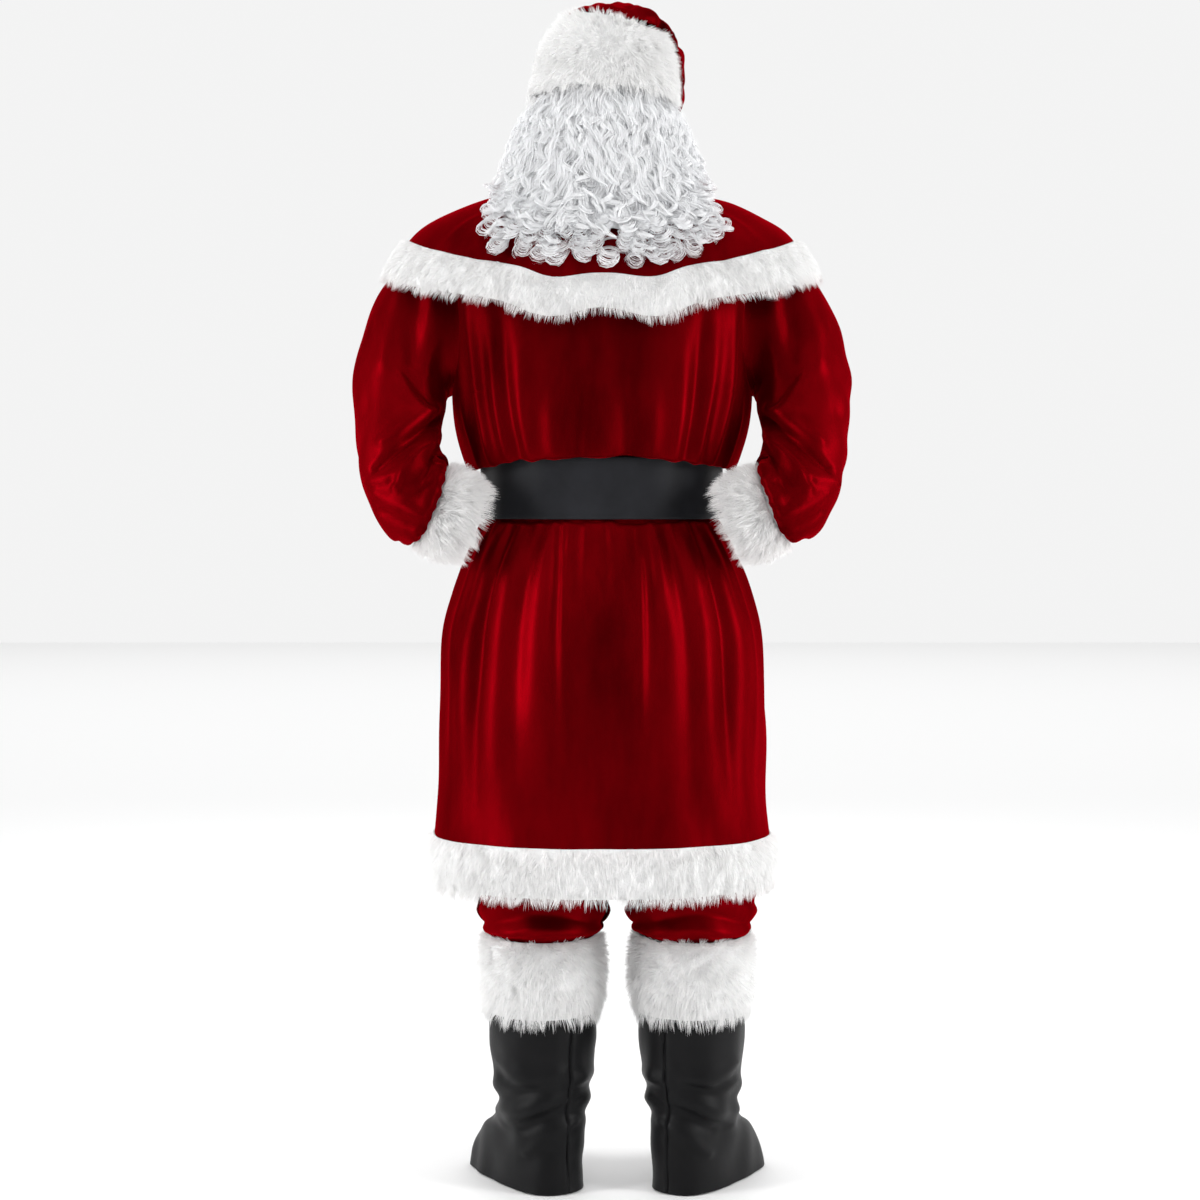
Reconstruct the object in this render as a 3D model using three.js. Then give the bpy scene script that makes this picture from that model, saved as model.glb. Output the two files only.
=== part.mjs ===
// A long Father Christmas suit in its worn, filled-out shape: belted velvet coat with fur hem and cuffs, shoulder
// cape, trousers, fur-topped boot covers, hat and curled wig. Millimetres, +Z up, the wearer faces -Y, and the
// wearer's left is +X. Heights in the tables are above the ground under the boots; the whole suit is then lowered
// so that the origin is the middle of the collar, where the wearer's neck and shoulders carry it.
import * as THREE from "three";

// Driving dimensions
const COLLAR_HEIGHT = 1525;
const CLOTH = 2; // velvet with its backing
const VINYL = 2; // boot covers
const STRAP = 3; // belt
const SEAM = 0.3; // clear distance between pieces that are sewn together
const COLUMN = 11.25; // degrees between the columns of the coat and the cape
const TRIM_LIFT = 0.6; // clear distance between a fur band and the cloth under it
const FUR_REACH = 13; // how far the fur bands stand off the cloth
const HAIR = 24; // thickness of the wig's hair
const LEG_CENTRES = [92, -140]; // left and right leg, from the middle of the coat
const TOE_OUT = 35; // degrees
const DEG = Math.PI / 180;

// Oval rings of the coat: half width, depth behind, depth in front, height at the side, at the middle of the back,
// at the middle of the front, and the squareness of the oval.
const COAT_RINGS = [
  [76, 62, 66, 1530, 1531, 1494, 2], // neck edge
  [128, 92, 96, 1519, 1509, 1472, 2.1],
  [184, 118, 118, 1500, 1478, 1442, 2.2],
  [233, 140, 136, 1472, 1436, 1402, 2.25], // shoulder point
  [239, 152, 146, 1396, 1378, 1356, 2.3],
  [235, 160, 152, 1308, 1303, 1298, 2.3],
  [228, 166, 158, 1222, 1222, 1222, 2.3], // armpit
  [219, 171, 168, 1168, 1172, 1178, 2.3],
  [202, 167, 168, 1120, 1128, 1150, 2.3], // lowest line of the blousing
  [193, 158, 158, 1132, 1137, 1158, 2.2], // over the belt's upper edge
  [178, 141, 141, 1129, 1131, 1142, 2.2], // behind the belt
  [177, 140, 140, 1040, 1040, 1040, 2.2],
  [184, 147, 147, 1022, 1022, 1022, 2.2],
  [208, 164, 162, 974, 974, 974, 2.2],
  [227, 179, 176, 922, 922, 922, 2.2],
  [243, 192, 188, 850, 850, 850, 2.25],
  [249, 198, 195, 740, 740, 740, 2.3],
  [253, 202, 200, 630, 630, 630, 2.3],
  [258, 206, 204, 552, 552, 552, 2.3], // upper edge of the hem fur
  [258, 207, 205, 480, 480, 480, 2.3], // hem
  [257, 206, 204, 466, 466, 466, 2.3], // lower edge of the hem fur
];
const SHOULDER_ROW = 3;
const ARMPIT_ROW = 6;
const HEM_FUR_ROW = 18;
const HEM_ROW = 19;
const ARMHOLE_ANGLE = 27; // degrees of the ring to each side of the arm's middle
const ARMHOLE_ROWS = [3, 3.25, 3.8, 4.5, 5.2, 5.75, 6];

// Soft folds that run down the coat: angle and row where each starts and ends, half width in degrees, and rise.
const COAT_FOLDS = [
  [41, 12, 39, 18, 8, 9],
  [54, 12.4, 62, 17.4, 7, 5],
  [72, 12.4, 80, 17.6, 7, 5],
  [108, 12.4, 100, 17.6, 7, 5],
  [126, 12.4, 119, 17.4, 7, 5],
  [139, 12, 141, 18, 8, 9],
  [-38, 12, -40, 18, 8, 8],
  [-62, 12.4, -58, 17.6, 7, 6],
  [-118, 12.4, -122, 17.6, 7, 6],
  [-142, 12, -140, 18, 8, 8],
  [52, 5.2, 44, 8.8, 6, 6],
  [78, 5.2, 70, 8.8, 7, 5],
  [102, 5.2, 110, 8.8, 7, 5],
  [128, 5.2, 136, 8.8, 6, 6],
  [-50, 5.2, -46, 8.8, 7, 5],
  [-74, 5.2, -70, 8.8, 6, 5],
  [-106, 5.2, -110, 8.8, 6, 5],
  [-130, 5.2, -134, 8.8, 7, 5],
];

// The cape's rings, in the same order as the coat's.
const CAPE_RINGS = [
  [80, 68, 72, 1540, 1541, 1504, 2],
  [132, 100, 104, 1530, 1520, 1484, 2.1],
  [190, 128, 128, 1515, 1488, 1456, 2.2],
  [248, 152, 148, 1489, 1448, 1420, 2.2],
  [296, 170, 162, 1454, 1405, 1384, 2.15], // upper edge of the fur
  [337, 184, 176, 1392, 1350, 1338, 2.1], // hem
  [340, 185, 177, 1384, 1342, 1330, 2.1], // lower edge of the fur
];
const CAPE_FUR_ROW = 4;
const CAPE_HEM_ROW = 5;
// Where the cape's hem hangs lower: angle, half width in degrees, drop.
const CAPE_LOBES = [
  [78, 9, 22],
  [102, 9, 22],
  [-66, 12, 12],
  [-114, 12, 12],
];

// Sleeve stations for the left arm: the point on its outer line, the point on its inner line, and the half depth
// across them. The first station after the armhole is high on the shoulder, the last is gathered into the cuff.
const SLEEVE_STATIONS = [
  [[285, 6, 1450], [237, 4, 1216], 82],
  [[321, 12, 1404], [240, 8, 1208], 80],
  [[349, 22, 1350], [242, 14, 1200], 77],
  [[366, 38, 1298], [243, 24, 1190], 73],
  [[373, 58, 1238], [244, 38, 1178], 69],
  [[371, 80, 1178], [244, 56, 1162], 66],
  [[365, 98, 1124], [243, 76, 1150], 64],
  [[355, 112, 1078], [241, 94, 1140], 62],
  [[337, 124, 1038], [238, 109, 1134], 61],
  [[314, 134, 1008], [235, 123, 1129], 61],
];
// The fur cuff: middle of its two ends, half width inside the fur, and how far the fur stands out.
const CUFF_START = [255, 138, 1056];
const CUFF_END = [197, 124, 1031];
const CUFF_GAP = 3; // past the sleeve's gathered edge
const SLEEVE_FULL = 67; // half width of the sleeve just before it is gathered
const CUFF_RADIUS = 51;
const CUFF_REACH = 16;

const BELT_RINGS = [
  [185, 148, 148, 1127, 1127, 1127, 2.2],
  [184, 147, 147, 1034, 1034, 1034, 2.2],
];
const BELT_START = -104; // the strap runs from here round the back and over its own end at the front
const BELT_END = 284;
const BELT_LAP_RISE = 4.5;
const BUCKLE = { width: 104, height: 106, bar: 14, thick: 4, front: -153 };

// Trousers: half width and half depth of the seat, distance of the leg's middle from the fork's, half width and
// half depth of the leg, height, and how far the seat has become two legs.
const TROUSER_ROWS = [
  [160, 122, 90, 70, 122, 1100, 0], // waist
  [166, 126, 90, 80, 126, 1040, 0],
  [188, 142, 94, 94, 142, 940, 0],
  [196, 150, 98, 98, 148, 860, 0.05],
  [194, 146, 102, 98, 138, 790, 0.5],
  [190, 140, 105, 96, 122, 740, 1], // fork
  [180, 130, 108, 93, 108, 640, 1],
  [170, 120, 111, 92, 100, 530, 1],
  [170, 120, 114, 96, 100, 446, 1],
  [170, 120, 116, 92, 96, 412, 1], // puffed over the boot's fur
  [170, 120, 116, 74, 76, 396, 1],
  [170, 120, 116, 64, 64, 360, 1],
  [170, 120, 116, 60, 60, 215, 1],
];
const TROUSER_MIDDLE = -24; // where the legs' middle stands, from the coat's
const WAISTBAND_HEIGHT = 36;

// Boot covers, in their own frame with the toe along -Y: half width, reach to the heel, reach to the toe, height at
// the heel and at the toe.
const BOOT_ROWS = [
  [79, 79, 79, 392, 392],
  [80, 80, 80, 320, 320],
  [80, 80, 79, 250, 250],
  [77, 77, 76, 195, 192],
  [71, 73, 73, 152, 150],
  [64, 69, 76, 118, 120],
  [58, 70, 98, 92, 100],
  [55, 71, 132, 62, 76],
  [54, 71, 158, 34, 44],
  [55, 71, 172, 14, 17],
  [56, 72, 177, 2, 2],
];
const BOOT_FUR_REACH = 14;
const STIRRUP_WIDTH = 25;

// The hat's fur band: half width, half depth, middle's x, height at the left and at the right.
const BAND_RINGS = [
  [106, 112, -2, 1680, 1672],
  [96, 105, -6, 1712, 1704],
  [87, 96, -10, 1752, 1736],
  [69, 80, -20, 1797, 1765],
];
// The hat's bag: the middle of each ring, its reach to the outside of the bend, and its reach to the wearer's back.
const BAG_STATIONS = [
  [[-22, -1, 1788], [68, 0, 14], [0, 76, 0]],
  [[-40, -6, 1797], [56, 0, 16], [0, 70, 0]],
  [[-66, -16, 1799], [36, 0, 17], [0, 62, 0]],
  [[-92, -32, 1789], [17, 0, 19], [0, 52, 0]],
  [[-112, -52, 1764], [11, 0, 12], [0, 44, -2]],
  [[-118, -68, 1728], [9, 0, 4], [0, 36, -6]],
  [[-118, -88, 1692], [8, 0, 1], [0, 27, -8]],
  [[-112, -104, 1658], [7, 0, 0], [0, 15, -8]],
];
const BAG_GAP = 6; // from the band's upper edge to the bag's, past the fur's thickness
const POMPOM = { x: -104, y: -114, z: 1620, radius: 30 };

// The wig over the head: half width, depth behind, depth in front, and one height for the ring.
const WIG_RINGS = [
  [30, 34, 30, 1762, 1762, 1762, 2],
  [64, 72, 60, 1752, 1752, 1752, 2],
  [82, 92, 78, 1722, 1722, 1722, 2],
  [95, 102, 88, 1680, 1680, 1680, 2],
  [101, 107, 91, 1664, 1664, 1664, 2],
  [126, 114, 97, 1638, 1638, 1638, 2],
  [142, 119, 98, 1606, 1606, 1606, 2],
  [158, 130, 98, 1574, 1570, 1574, 2],
];
const WIG_CAPE_ROWS = [1.6, 1.95]; // row of the cape where the hair meets it, at the side and behind
const WIG_LOWEST_ROWS = [1.8, 3.8]; // and the row where it ends
const WIG_LIFT = 5; // gap under the hair that lies on the cape
const WIG_FROM = -30; // degrees; the face is left open
const WIG_TO = 210;
const WIG_COLUMNS = 20;

// ---------------------------------------------------------------------------------------------------------------
// Curves and points

const mix = (a, b, t) => a + (b - a) * t;
const smooth = (t) => {
  const c = Math.min(Math.max(t, 0), 1);
  return c * c * (3 - 2 * c);
};

// The values of a table between two of its rows, on a smooth curve through them all.
function between(rows, place) {
  const last = rows.length - 1;
  const first = Math.min(Math.max(Math.floor(place), 0), last - 1);
  const f = place - first;
  const [p, q, r, s] = [-1, 0, 1, 2].map((k) => rows[Math.min(Math.max(first + k, 0), last)]);
  return q.map((_, c) => {
    const line = (r[c] - p[c]) * f;
    const bend = (2 * p[c] - 5 * q[c] + 4 * r[c] - s[c]) * f * f;
    const twist = (3 * q[c] - p[c] - 3 * r[c] + s[c]) * f ** 3;
    return 0.5 * (2 * q[c] + line + bend + twist);
  });
}

// A point of an oval ring. Angle 0 is the wearer's left side, 90 the middle of the back, -90 of the front.
function ringPoint([width, back, front, sideZ, backZ, frontZ, square], angle, swell = 0) {
  const c = Math.cos(angle * DEG);
  const s = Math.sin(angle * DEG);
  const power = 2 / square;
  return new THREE.Vector3(
    Math.sign(c) * (width * Math.abs(c) ** power + swell * Math.abs(c)),
    Math.sign(s) * ((s > 0 ? back : front) * Math.abs(s) ** power + swell * Math.abs(s)),
    sideZ + ((s > 0 ? backZ : frontZ) - sideZ) * s * s,
  );
}

const degreesApart = (a, b) => Math.abs(((a - b + 540) % 360) - 180);
const bell = (distance, halfWidth) => Math.exp(-((distance / halfWidth) ** 2));

function coatPoint(angle, place) {
  let swell = 0;
  for (const [fromAngle, fromRow, toAngle, toRow, halfWidth, rise] of COAT_FOLDS) {
    const down = (place - fromRow) / (toRow - fromRow);
    const fade = smooth(down * 4) * smooth((1 - down) * 4);
    swell += rise * fade * bell(degreesApart(angle, mix(fromAngle, toAngle, down)), halfWidth);
  }
  return ringPoint(between(COAT_RINGS, place), angle, swell);
}

function capePoint(angle, place) {
  const down = (place / CAPE_HEM_ROW) ** 2;
  let drop = 0;
  for (const [middle, halfWidth, depth] of CAPE_LOBES) {
    drop += depth * bell(degreesApart(angle, middle), halfWidth);
  }
  const point = ringPoint(between(CAPE_RINGS, place), angle, drop * down * 0.4);
  point.z -= drop * down;
  return point;
}

const armholeAngle = (place) => {
  const middle = (SHOULDER_ROW + ARMPIT_ROW) / 2;
  const half = (ARMPIT_ROW - SHOULDER_ROW) / 2;
  return ARMHOLE_ANGLE * Math.sqrt(Math.max(0, 1 - ((place - middle) / half) ** 2));
};

const value = (thing, ...at) => (typeof thing === "function" ? thing(...at) : thing);
const steps = (from, to, count) => Array.from({ length: count + 1 }, (_, i) => mix(from, to, i / count));

// A point moved off a surface that is given by a function of an angle and a row.
function lifted(surface, angle, place, lift) {
  const point = surface(angle, place);
  if (lift === 0) return point;
  const around = surface(angle + 1, place).sub(surface(angle - 1, place));
  const down = surface(angle, place + 0.02).sub(surface(angle, place - 0.02));
  return point.add(down.cross(around).setLength(lift));
}

// Points of a surface row by row, each row running from one angle to another, moved off it by `lift`.
function grid(surface, rows, from, to, columns, lift = 0) {
  return rows.map((place, i) => {
    const [start, end, reach] = [value(from, place), value(to, place), value(lift, i / (rows.length - 1))];
    return Array.from({ length: columns + 1 }, (_, j) => lifted(surface, mix(start, end, j / columns), place, reach));
  });
}

// A ring of points moved off the tube or sheet that the rows make.
function offset(points, lift, closed) {
  const columns = points[0].length;
  const near = (i, j) => {
    const column = closed ? (j + columns) % columns : Math.min(Math.max(j, 0), columns - 1);
    return points[Math.min(Math.max(i, 0), points.length - 1)][column];
  };
  return points.map((row, i) =>
    row.map((point, j) => {
      const down = near(i + 1, j).clone().sub(near(i - 1, j));
      const around = near(i, j + 1).clone().sub(near(i, j - 1));
      return point.clone().add(down.cross(around).setLength(value(lift, i / (points.length - 1))));
    }),
  );
}

// ---------------------------------------------------------------------------------------------------------------
// Solids

// The closed wall between an outer and an inner grid of points.
function wall(outer, inner, closed = false) {
  const rows = outer.length;
  const columns = outer[0].length;
  const positions = [outer, inner].flatMap((points) => points.flatMap((row) => row.flatMap((p) => p.toArray())));
  const index = [];
  const inside = rows * columns;
  const at = (i, j) => i * columns + (j % columns);
  const quad = (a, b, c, d) => index.push(a, b, c, a, c, d);
  const spans = closed ? columns : columns - 1;
  for (let i = 0; i < rows - 1; i++) {
    for (let j = 0; j < spans; j++) {
      const [a, b, c, d] = [at(i, j), at(i + 1, j), at(i + 1, j + 1), at(i, j + 1)];
      quad(a, b, c, d);
      quad(a + inside, d + inside, c + inside, b + inside);
    }
    if (!closed) {
      const [a, b] = [at(i, 0), at(i + 1, 0)];
      quad(b, a, a + inside, b + inside);
      const [d, c] = [at(i, columns - 1), at(i + 1, columns - 1)];
      quad(d, c, c + inside, d + inside);
    }
  }
  for (let j = 0; j < spans; j++) {
    const [a, d] = [at(0, j), at(0, j + 1)];
    quad(a, d, d + inside, a + inside);
    const [b, c] = [at(rows - 1, j), at(rows - 1, j + 1)];
    quad(c, b, b + inside, c + inside);
  }
  const geometry = new THREE.BufferGeometry();
  geometry.setAttribute("position", new THREE.Float32BufferAttribute(positions, 3));
  geometry.setIndex(index);
  return geometry;
}

// A panel cut from a surface, its wall reaching from `inner` to `outer` off it.
function panel(surface, rows, from, to, columns, inner, outer) {
  const at = (lift) => grid(surface, rows, from, to, columns, lift);
  return wall(at(outer), at(inner));
}

// A tube through rings of points.
const tube = (rings, inner, outer) => wall(offset(rings, outer, true), offset(rings, inner, true), true);

// The same solid on the wearer's other side.
function mirrored(geometry) {
  const other = geometry.clone().scale(-1, 1, 1);
  const index = other.getIndex().array;
  for (let i = 0; i < index.length; i += 3) {
    [index[i + 1], index[i + 2]] = [index[i + 2], index[i + 1]];
  }
  return other;
}

const furProfile = (reach) => (down) => TRIM_LIFT + reach * (0.45 + 0.55 * Math.sin(Math.PI * mix(0.12, 0.88, down)));

// ---------------------------------------------------------------------------------------------------------------
// Coat

const COAT_ROWS = [0, 1, 2, ...ARMHOLE_ROWS, 7, 7.6, 8, 8.5, 9, 10, 11, 12, 13, 14, 15, 16, 17, 18, 18.5, HEM_ROW];

// Half of a seam's clear distance, in degrees of a ring.
const seamAngle = (rings) => (place) => (0.5 * SEAM) / between(rings, place)[0] / DEG;

const coatSeam = seamAngle(COAT_RINGS);
const coatEdge = (place) => {
  const hole = place > SHOULDER_ROW && place < ARMPIT_ROW ? armholeAngle(place) : 0;
  return Math.max(hole, coatSeam(place));
};
const coatFront = (place) => -90 + 1.6 * coatSeam(place);

function coatBack() {
  return panel(coatPoint, COAT_ROWS, coatEdge, (place) => 180 - coatEdge(place), 180 / COLUMN, -CLOTH, 0);
}

function coatFrontLeft() {
  return panel(coatPoint, COAT_ROWS, coatFront, (place) => -coatEdge(place), 90 / COLUMN, -CLOTH, 0);
}

function hemFur() {
  const rows = [HEM_FUR_ROW, HEM_FUR_ROW + 0.5, HEM_ROW, COAT_RINGS.length - 1];
  const end = (place) => 180 - coatFront(place);
  return panel(coatPoint, rows, coatFront, end, 360 / COLUMN, TRIM_LIFT, furProfile(FUR_REACH));
}

// ---------------------------------------------------------------------------------------------------------------
// Sleeves and cuffs

const SLEEVE_COLUMNS = 2 * (ARMHOLE_ROWS.length - 1);

// The armhole's edge, from the shoulder point down the front to the armpit and up the back.
function armholeLoop() {
  const down = ARMHOLE_ROWS.map((place) => coatPoint(-armholeAngle(place), place));
  const up = ARMHOLE_ROWS.slice(1, -1).map((place) => coatPoint(armholeAngle(place), place)).reverse();
  return [...down, ...up].map((point) => point.add(new THREE.Vector3(2.6, 0, 0)));
}

const vector = (list) => new THREE.Vector3(...list);
const middleOf = ([outer, inner]) => vector(outer).add(vector(inner)).multiplyScalar(0.5);

// An oval ring about a middle point, from the reach of its first point and of the point a quarter turn on.
function ovalRing(middle, reach, quarter, columns) {
  return Array.from({ length: columns }, (_, j) => {
    const angle = (j / columns) * 2 * Math.PI;
    return middle.clone().addScaledVector(reach, Math.cos(angle)).addScaledVector(quarter, Math.sin(angle));
  });
}

function sleeveRings() {
  const middles = [...SLEEVE_STATIONS.map(middleOf), vector(CUFF_START)];
  return SLEEVE_STATIONS.map(([outer, inner, across], k) => {
    const direction = middles[k + 1].clone().sub(middles[Math.max(k - 1, 0)]);
    const reach = vector(outer).sub(vector(inner)).multiplyScalar(0.5);
    const quarter = direction.cross(reach).setLength(across);
    return ovalRing(middles[k], reach, quarter, SLEEVE_COLUMNS);
  });
}

// A ring about the cuff's line, `along` being how far it is past the sleeve's gathered edge.
function cuffRing(along, radius = CUFF_RADIUS) {
  const direction = vector(CUFF_END).sub(vector(CUFF_START)).normalize();
  const middle = vector(CUFF_START).addScaledVector(direction, along);
  const reach = vector(SLEEVE_STATIONS.at(-1)[0]).sub(vector(SLEEVE_STATIONS.at(-1)[1]));
  reach.addScaledVector(direction, -reach.dot(direction)).setLength(radius);
  return ovalRing(middle, reach, direction.cross(reach), SLEEVE_COLUMNS);
}

function sleeveLeft() {
  const end = [cuffRing(-20, SLEEVE_FULL), cuffRing(-7, SLEEVE_FULL), cuffRing(0)];
  return tube([armholeLoop(), ...sleeveRings(), ...end], -CLOTH, 0);
}

function cuffLeft() {
  const length = vector(CUFF_END).distanceTo(vector(CUFF_START));
  const rings = steps(CUFF_GAP, CUFF_GAP + length, 3).map((along) => cuffRing(along));
  return tube(rings, -4, (down) => CUFF_REACH * Math.sin(Math.PI * mix(0.3, 0.75, down)));
}

// ---------------------------------------------------------------------------------------------------------------
// Cape

const CAPE_ROWS = [0, 1, 2, 3, 3.5, CAPE_FUR_ROW, CAPE_FUR_ROW + 0.5, CAPE_HEM_ROW];

const capeSeam = seamAngle(CAPE_RINGS);
const capeFront = (place) => -90 + 2 * capeSeam(place);

function capeBack() {
  return panel(capePoint, CAPE_ROWS, capeSeam, (place) => 180 - capeSeam(place), 180 / COLUMN, -CLOTH, 0);
}

function capeFrontLeft() {
  return panel(capePoint, CAPE_ROWS, capeFront, (place) => -capeSeam(place), 90 / COLUMN, -CLOTH, 0);
}

function capeFur() {
  const rows = [CAPE_FUR_ROW, CAPE_FUR_ROW + 0.5, CAPE_HEM_ROW, CAPE_RINGS.length - 1];
  const end = (place) => 180 - capeFront(place);
  return panel(capePoint, rows, capeFront, end, 360 / COLUMN, TRIM_LIFT, furProfile(FUR_REACH));
}

// ---------------------------------------------------------------------------------------------------------------
// Belt

function beltPoint(angle, place) {
  const rise = BELT_LAP_RISE * smooth((angle - 225) / 25);
  return ringPoint(between(BELT_RINGS, place), angle, rise);
}

function beltStrap() {
  return panel(beltPoint, [0, 1], BELT_START, BELT_END, 34, -STRAP, 0);
}

// A rectangle with round corners, as an outline or as a hole.
function roundRectangle(shape, width, height, radius) {
  const [x, y] = [width / 2, height / 2];
  shape.moveTo(-x + radius, -y);
  shape.lineTo(x - radius, -y);
  shape.absarc(x - radius, -y + radius, radius, -Math.PI / 2, 0, false);
  shape.lineTo(x, y - radius);
  shape.absarc(x - radius, y - radius, radius, 0, Math.PI / 2, false);
  shape.lineTo(-x + radius, y);
  shape.absarc(-x + radius, y - radius, radius, Math.PI / 2, Math.PI, false);
  shape.lineTo(-x, -y + radius);
  shape.absarc(-x + radius, -y + radius, radius, Math.PI, 1.5 * Math.PI, false);
  return shape;
}

function buckleFrame() {
  const { width, height, bar, thick } = BUCKLE;
  const shape = roundRectangle(new THREE.Shape(), width, height, 12);
  shape.holes.push(roundRectangle(new THREE.Path(), width - 2 * bar, height - 2 * bar, 6));
  return new THREE.ExtrudeGeometry(shape, { depth: thick, bevelEnabled: false, curveSegments: 2 });
}

function buckleProng() {
  const { width, bar, thick } = BUCKLE;
  return new THREE.BoxGeometry(width - bar, 9, thick);
}

// ---------------------------------------------------------------------------------------------------------------
// Trousers

// side is 1 for the wearer's left; face is -1 for the front; across runs from the side seam to the middle.
function trouserPoint(side, face, across, place) {
  const [width, depth, apart, legWidth, legDepth, height, forked] = between(TROUSER_ROWS, place);
  const middle = mix(0, TROUSER_MIDDLE, smooth((1000 - height) / 500));
  const turn = across * 90 * DEG;
  const legTurn = 2 * turn;
  const split = smooth(forked);
  const seat = [width * Math.cos(turn), depth * Math.sin(turn)];
  const leg = [apart + legWidth * Math.cos(legTurn), legDepth * Math.sin(legTurn)];
  return new THREE.Vector3(
    middle + side * (mix(seat[0], leg[0], split) + SEAM),
    face * (mix(seat[1], leg[1], split) + SEAM),
    height,
  );
}

const TROUSER_PLACES = [1, 2, 3, 4, 4.5, 5, 6, 7, 8, 9, 10, 12];

function trouserPanel(side, face) {
  const rows = TROUSER_PLACES.map((place) =>
    Array.from({ length: 6 }, (_, j) => trouserPoint(side, face, mix(0.002, 0.998, j / 5), place)),
  );
  if (side * face < 0) rows.forEach((row) => row.reverse());
  return wall(rows, offset(rows, -CLOTH, false));
}

function waistband() {
  const [width, depth, , , , height] = TROUSER_ROWS[1];
  const ring = (z) => ovalRing(vector([0, 0, z]), vector([width, 0, 0]), vector([0, depth, 0]), 18);
  return tube([ring(height + WAISTBAND_HEIGHT), ring(height + CLOTH)], -3, 0);
}

// ---------------------------------------------------------------------------------------------------------------
// Boot covers

// Angle 90 is the heel and -90 the toe.
function bootPoint(angle, place) {
  const [width, heel, toe, heelZ, toeZ] = between(BOOT_ROWS, place);
  const blunt = Math.sin(angle * DEG) < 0 ? 0.75 * smooth((place - 5.5) / 2.5) : 0;
  return ringPoint([width, heel, toe, (heelZ + toeZ) / 2, heelZ, toeZ, 2.15 + blunt], angle);
}

const BOOT_PLACES = [0, 0.9, 1.8, 3, 4, 5, 6, 7, 8, 10];
const BOOT_FUR_PLACES = [0, 0.9, 1.8];
const bootSeam = (place) => (0.8 * SEAM) / between(BOOT_ROWS, place)[0] / DEG;

// The half of a left boot cover whose middle is at the given angle.
function bootHalf(middle) {
  const end = (sign) => (place) => middle + sign * (90 - bootSeam(place));
  return panel(bootPoint, BOOT_PLACES, end(-1), end(1), 8, -VINYL, 0);
}

function bootFur() {
  const ring = (lift) => grid(bootPoint, BOOT_FUR_PLACES, -90, 247.5, 15, lift);
  return wall(ring(furProfile(BOOT_FUR_REACH)), ring(TRIM_LIFT), true);
}

function stirrup() {
  const [width] = BOOT_ROWS.at(-1);
  return new THREE.BoxGeometry(2 * (width - VINYL) - 8, STIRRUP_WIDTH, 1.6);
}

// ---------------------------------------------------------------------------------------------------------------
// Hat and wig

const HAT_COLUMNS = 18;

function bandRing(place) {
  const [width, depth, middle, leftZ, rightZ] = between(BAND_RINGS, place);
  const tilt = (leftZ - rightZ) / 2;
  const centre = vector([middle, 0, (leftZ + rightZ) / 2]);
  return ovalRing(centre, vector([width, 0, tilt]), vector([0, depth, 0]), HAT_COLUMNS);
}

function hatBand() {
  return tube(steps(BAND_RINGS.length - 1, 0, 4).map(bandRing), -1.5, furProfile(FUR_REACH));
}

function hatBag() {
  const rings = BAG_STATIONS.map((station) => ovalRing(...station.map(vector), HAT_COLUMNS));
  const edge = bandRing(BAND_RINGS.length - 1);
  edge.forEach((point) => (point.z += BAG_GAP));
  return tube([...rings.reverse(), edge], -CLOTH, 0);
}

const onHead = (angle, place) => ringPoint(between(WIG_RINGS, place), angle);

function wig() {
  const over = grid(onHead, steps(0, WIG_RINGS.length - 1, WIG_RINGS.length - 1), WIG_FROM, WIG_TO, WIG_COLUMNS);
  const lying = steps(0, 1, 2).map((down) =>
    steps(WIG_FROM, WIG_TO, WIG_COLUMNS).map((angle) => {
      const behind = smooth((Math.sin(angle * DEG) - 0.5) / 0.38);
      const [first, last] = [WIG_CAPE_ROWS, WIG_LOWEST_ROWS].map(([side, back]) => mix(side, back, behind));
      return lifted(capePoint, angle, mix(first, last, down), HAIR + WIG_LIFT);
    }),
  );
  const rows = [...over, ...lying];
  return wall(rows, offset(rows, (down) => -mix(6, HAIR, smooth(down * 2)), false));
}

// ---------------------------------------------------------------------------------------------------------------
// Materials and assembly

const velvet = () => new THREE.MeshStandardMaterial({ color: 0x7a0008, roughness: 0.85, metalness: 0 });
const fur = () => new THREE.MeshStandardMaterial({ color: 0xf4f2f0, roughness: 0.95, metalness: 0 });
const vinyl = () => new THREE.MeshStandardMaterial({ color: 0x1c1c1e, roughness: 0.5, metalness: 0 });
const leather = () => new THREE.MeshStandardMaterial({ color: 0x2f3034, roughness: 0.45, metalness: 0 });
const brass = () => new THREE.MeshStandardMaterial({ color: 0xc9a24a, roughness: 0.3, metalness: 1 });
const elastic = () => new THREE.MeshStandardMaterial({ color: 0x141414, roughness: 0.9, metalness: 0 });
const hairs = () => new THREE.MeshStandardMaterial({ color: 0xececee, roughness: 0.6, metalness: 0 });

const suit = new THREE.Group();
const standing = new THREE.Group();
standing.position.z = -COLLAR_HEIGHT;
suit.add(standing);

function add(name, geometry, material, parent = standing) {
  const mesh = new THREE.Mesh(geometry, material);
  mesh.name = name;
  parent.add(mesh);
  return mesh;
}

function addPair(name, geometry, material, left = standing, right = standing) {
  add(`${name}_left`, geometry, material, left);
  add(`${name}_right`, mirrored(geometry), material, right);
}

add("coat_back", coatBack(), velvet());
addPair("coat_front", coatFrontLeft(), velvet());
add("hem_fur", hemFur(), fur());
addPair("sleeve", sleeveLeft(), velvet());
addPair("cuff_fur", cuffLeft(), fur());

add("cape_back", capeBack(), velvet());
addPair("cape_front", capeFrontLeft(), velvet());
add("cape_fur", capeFur(), fur());

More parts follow.
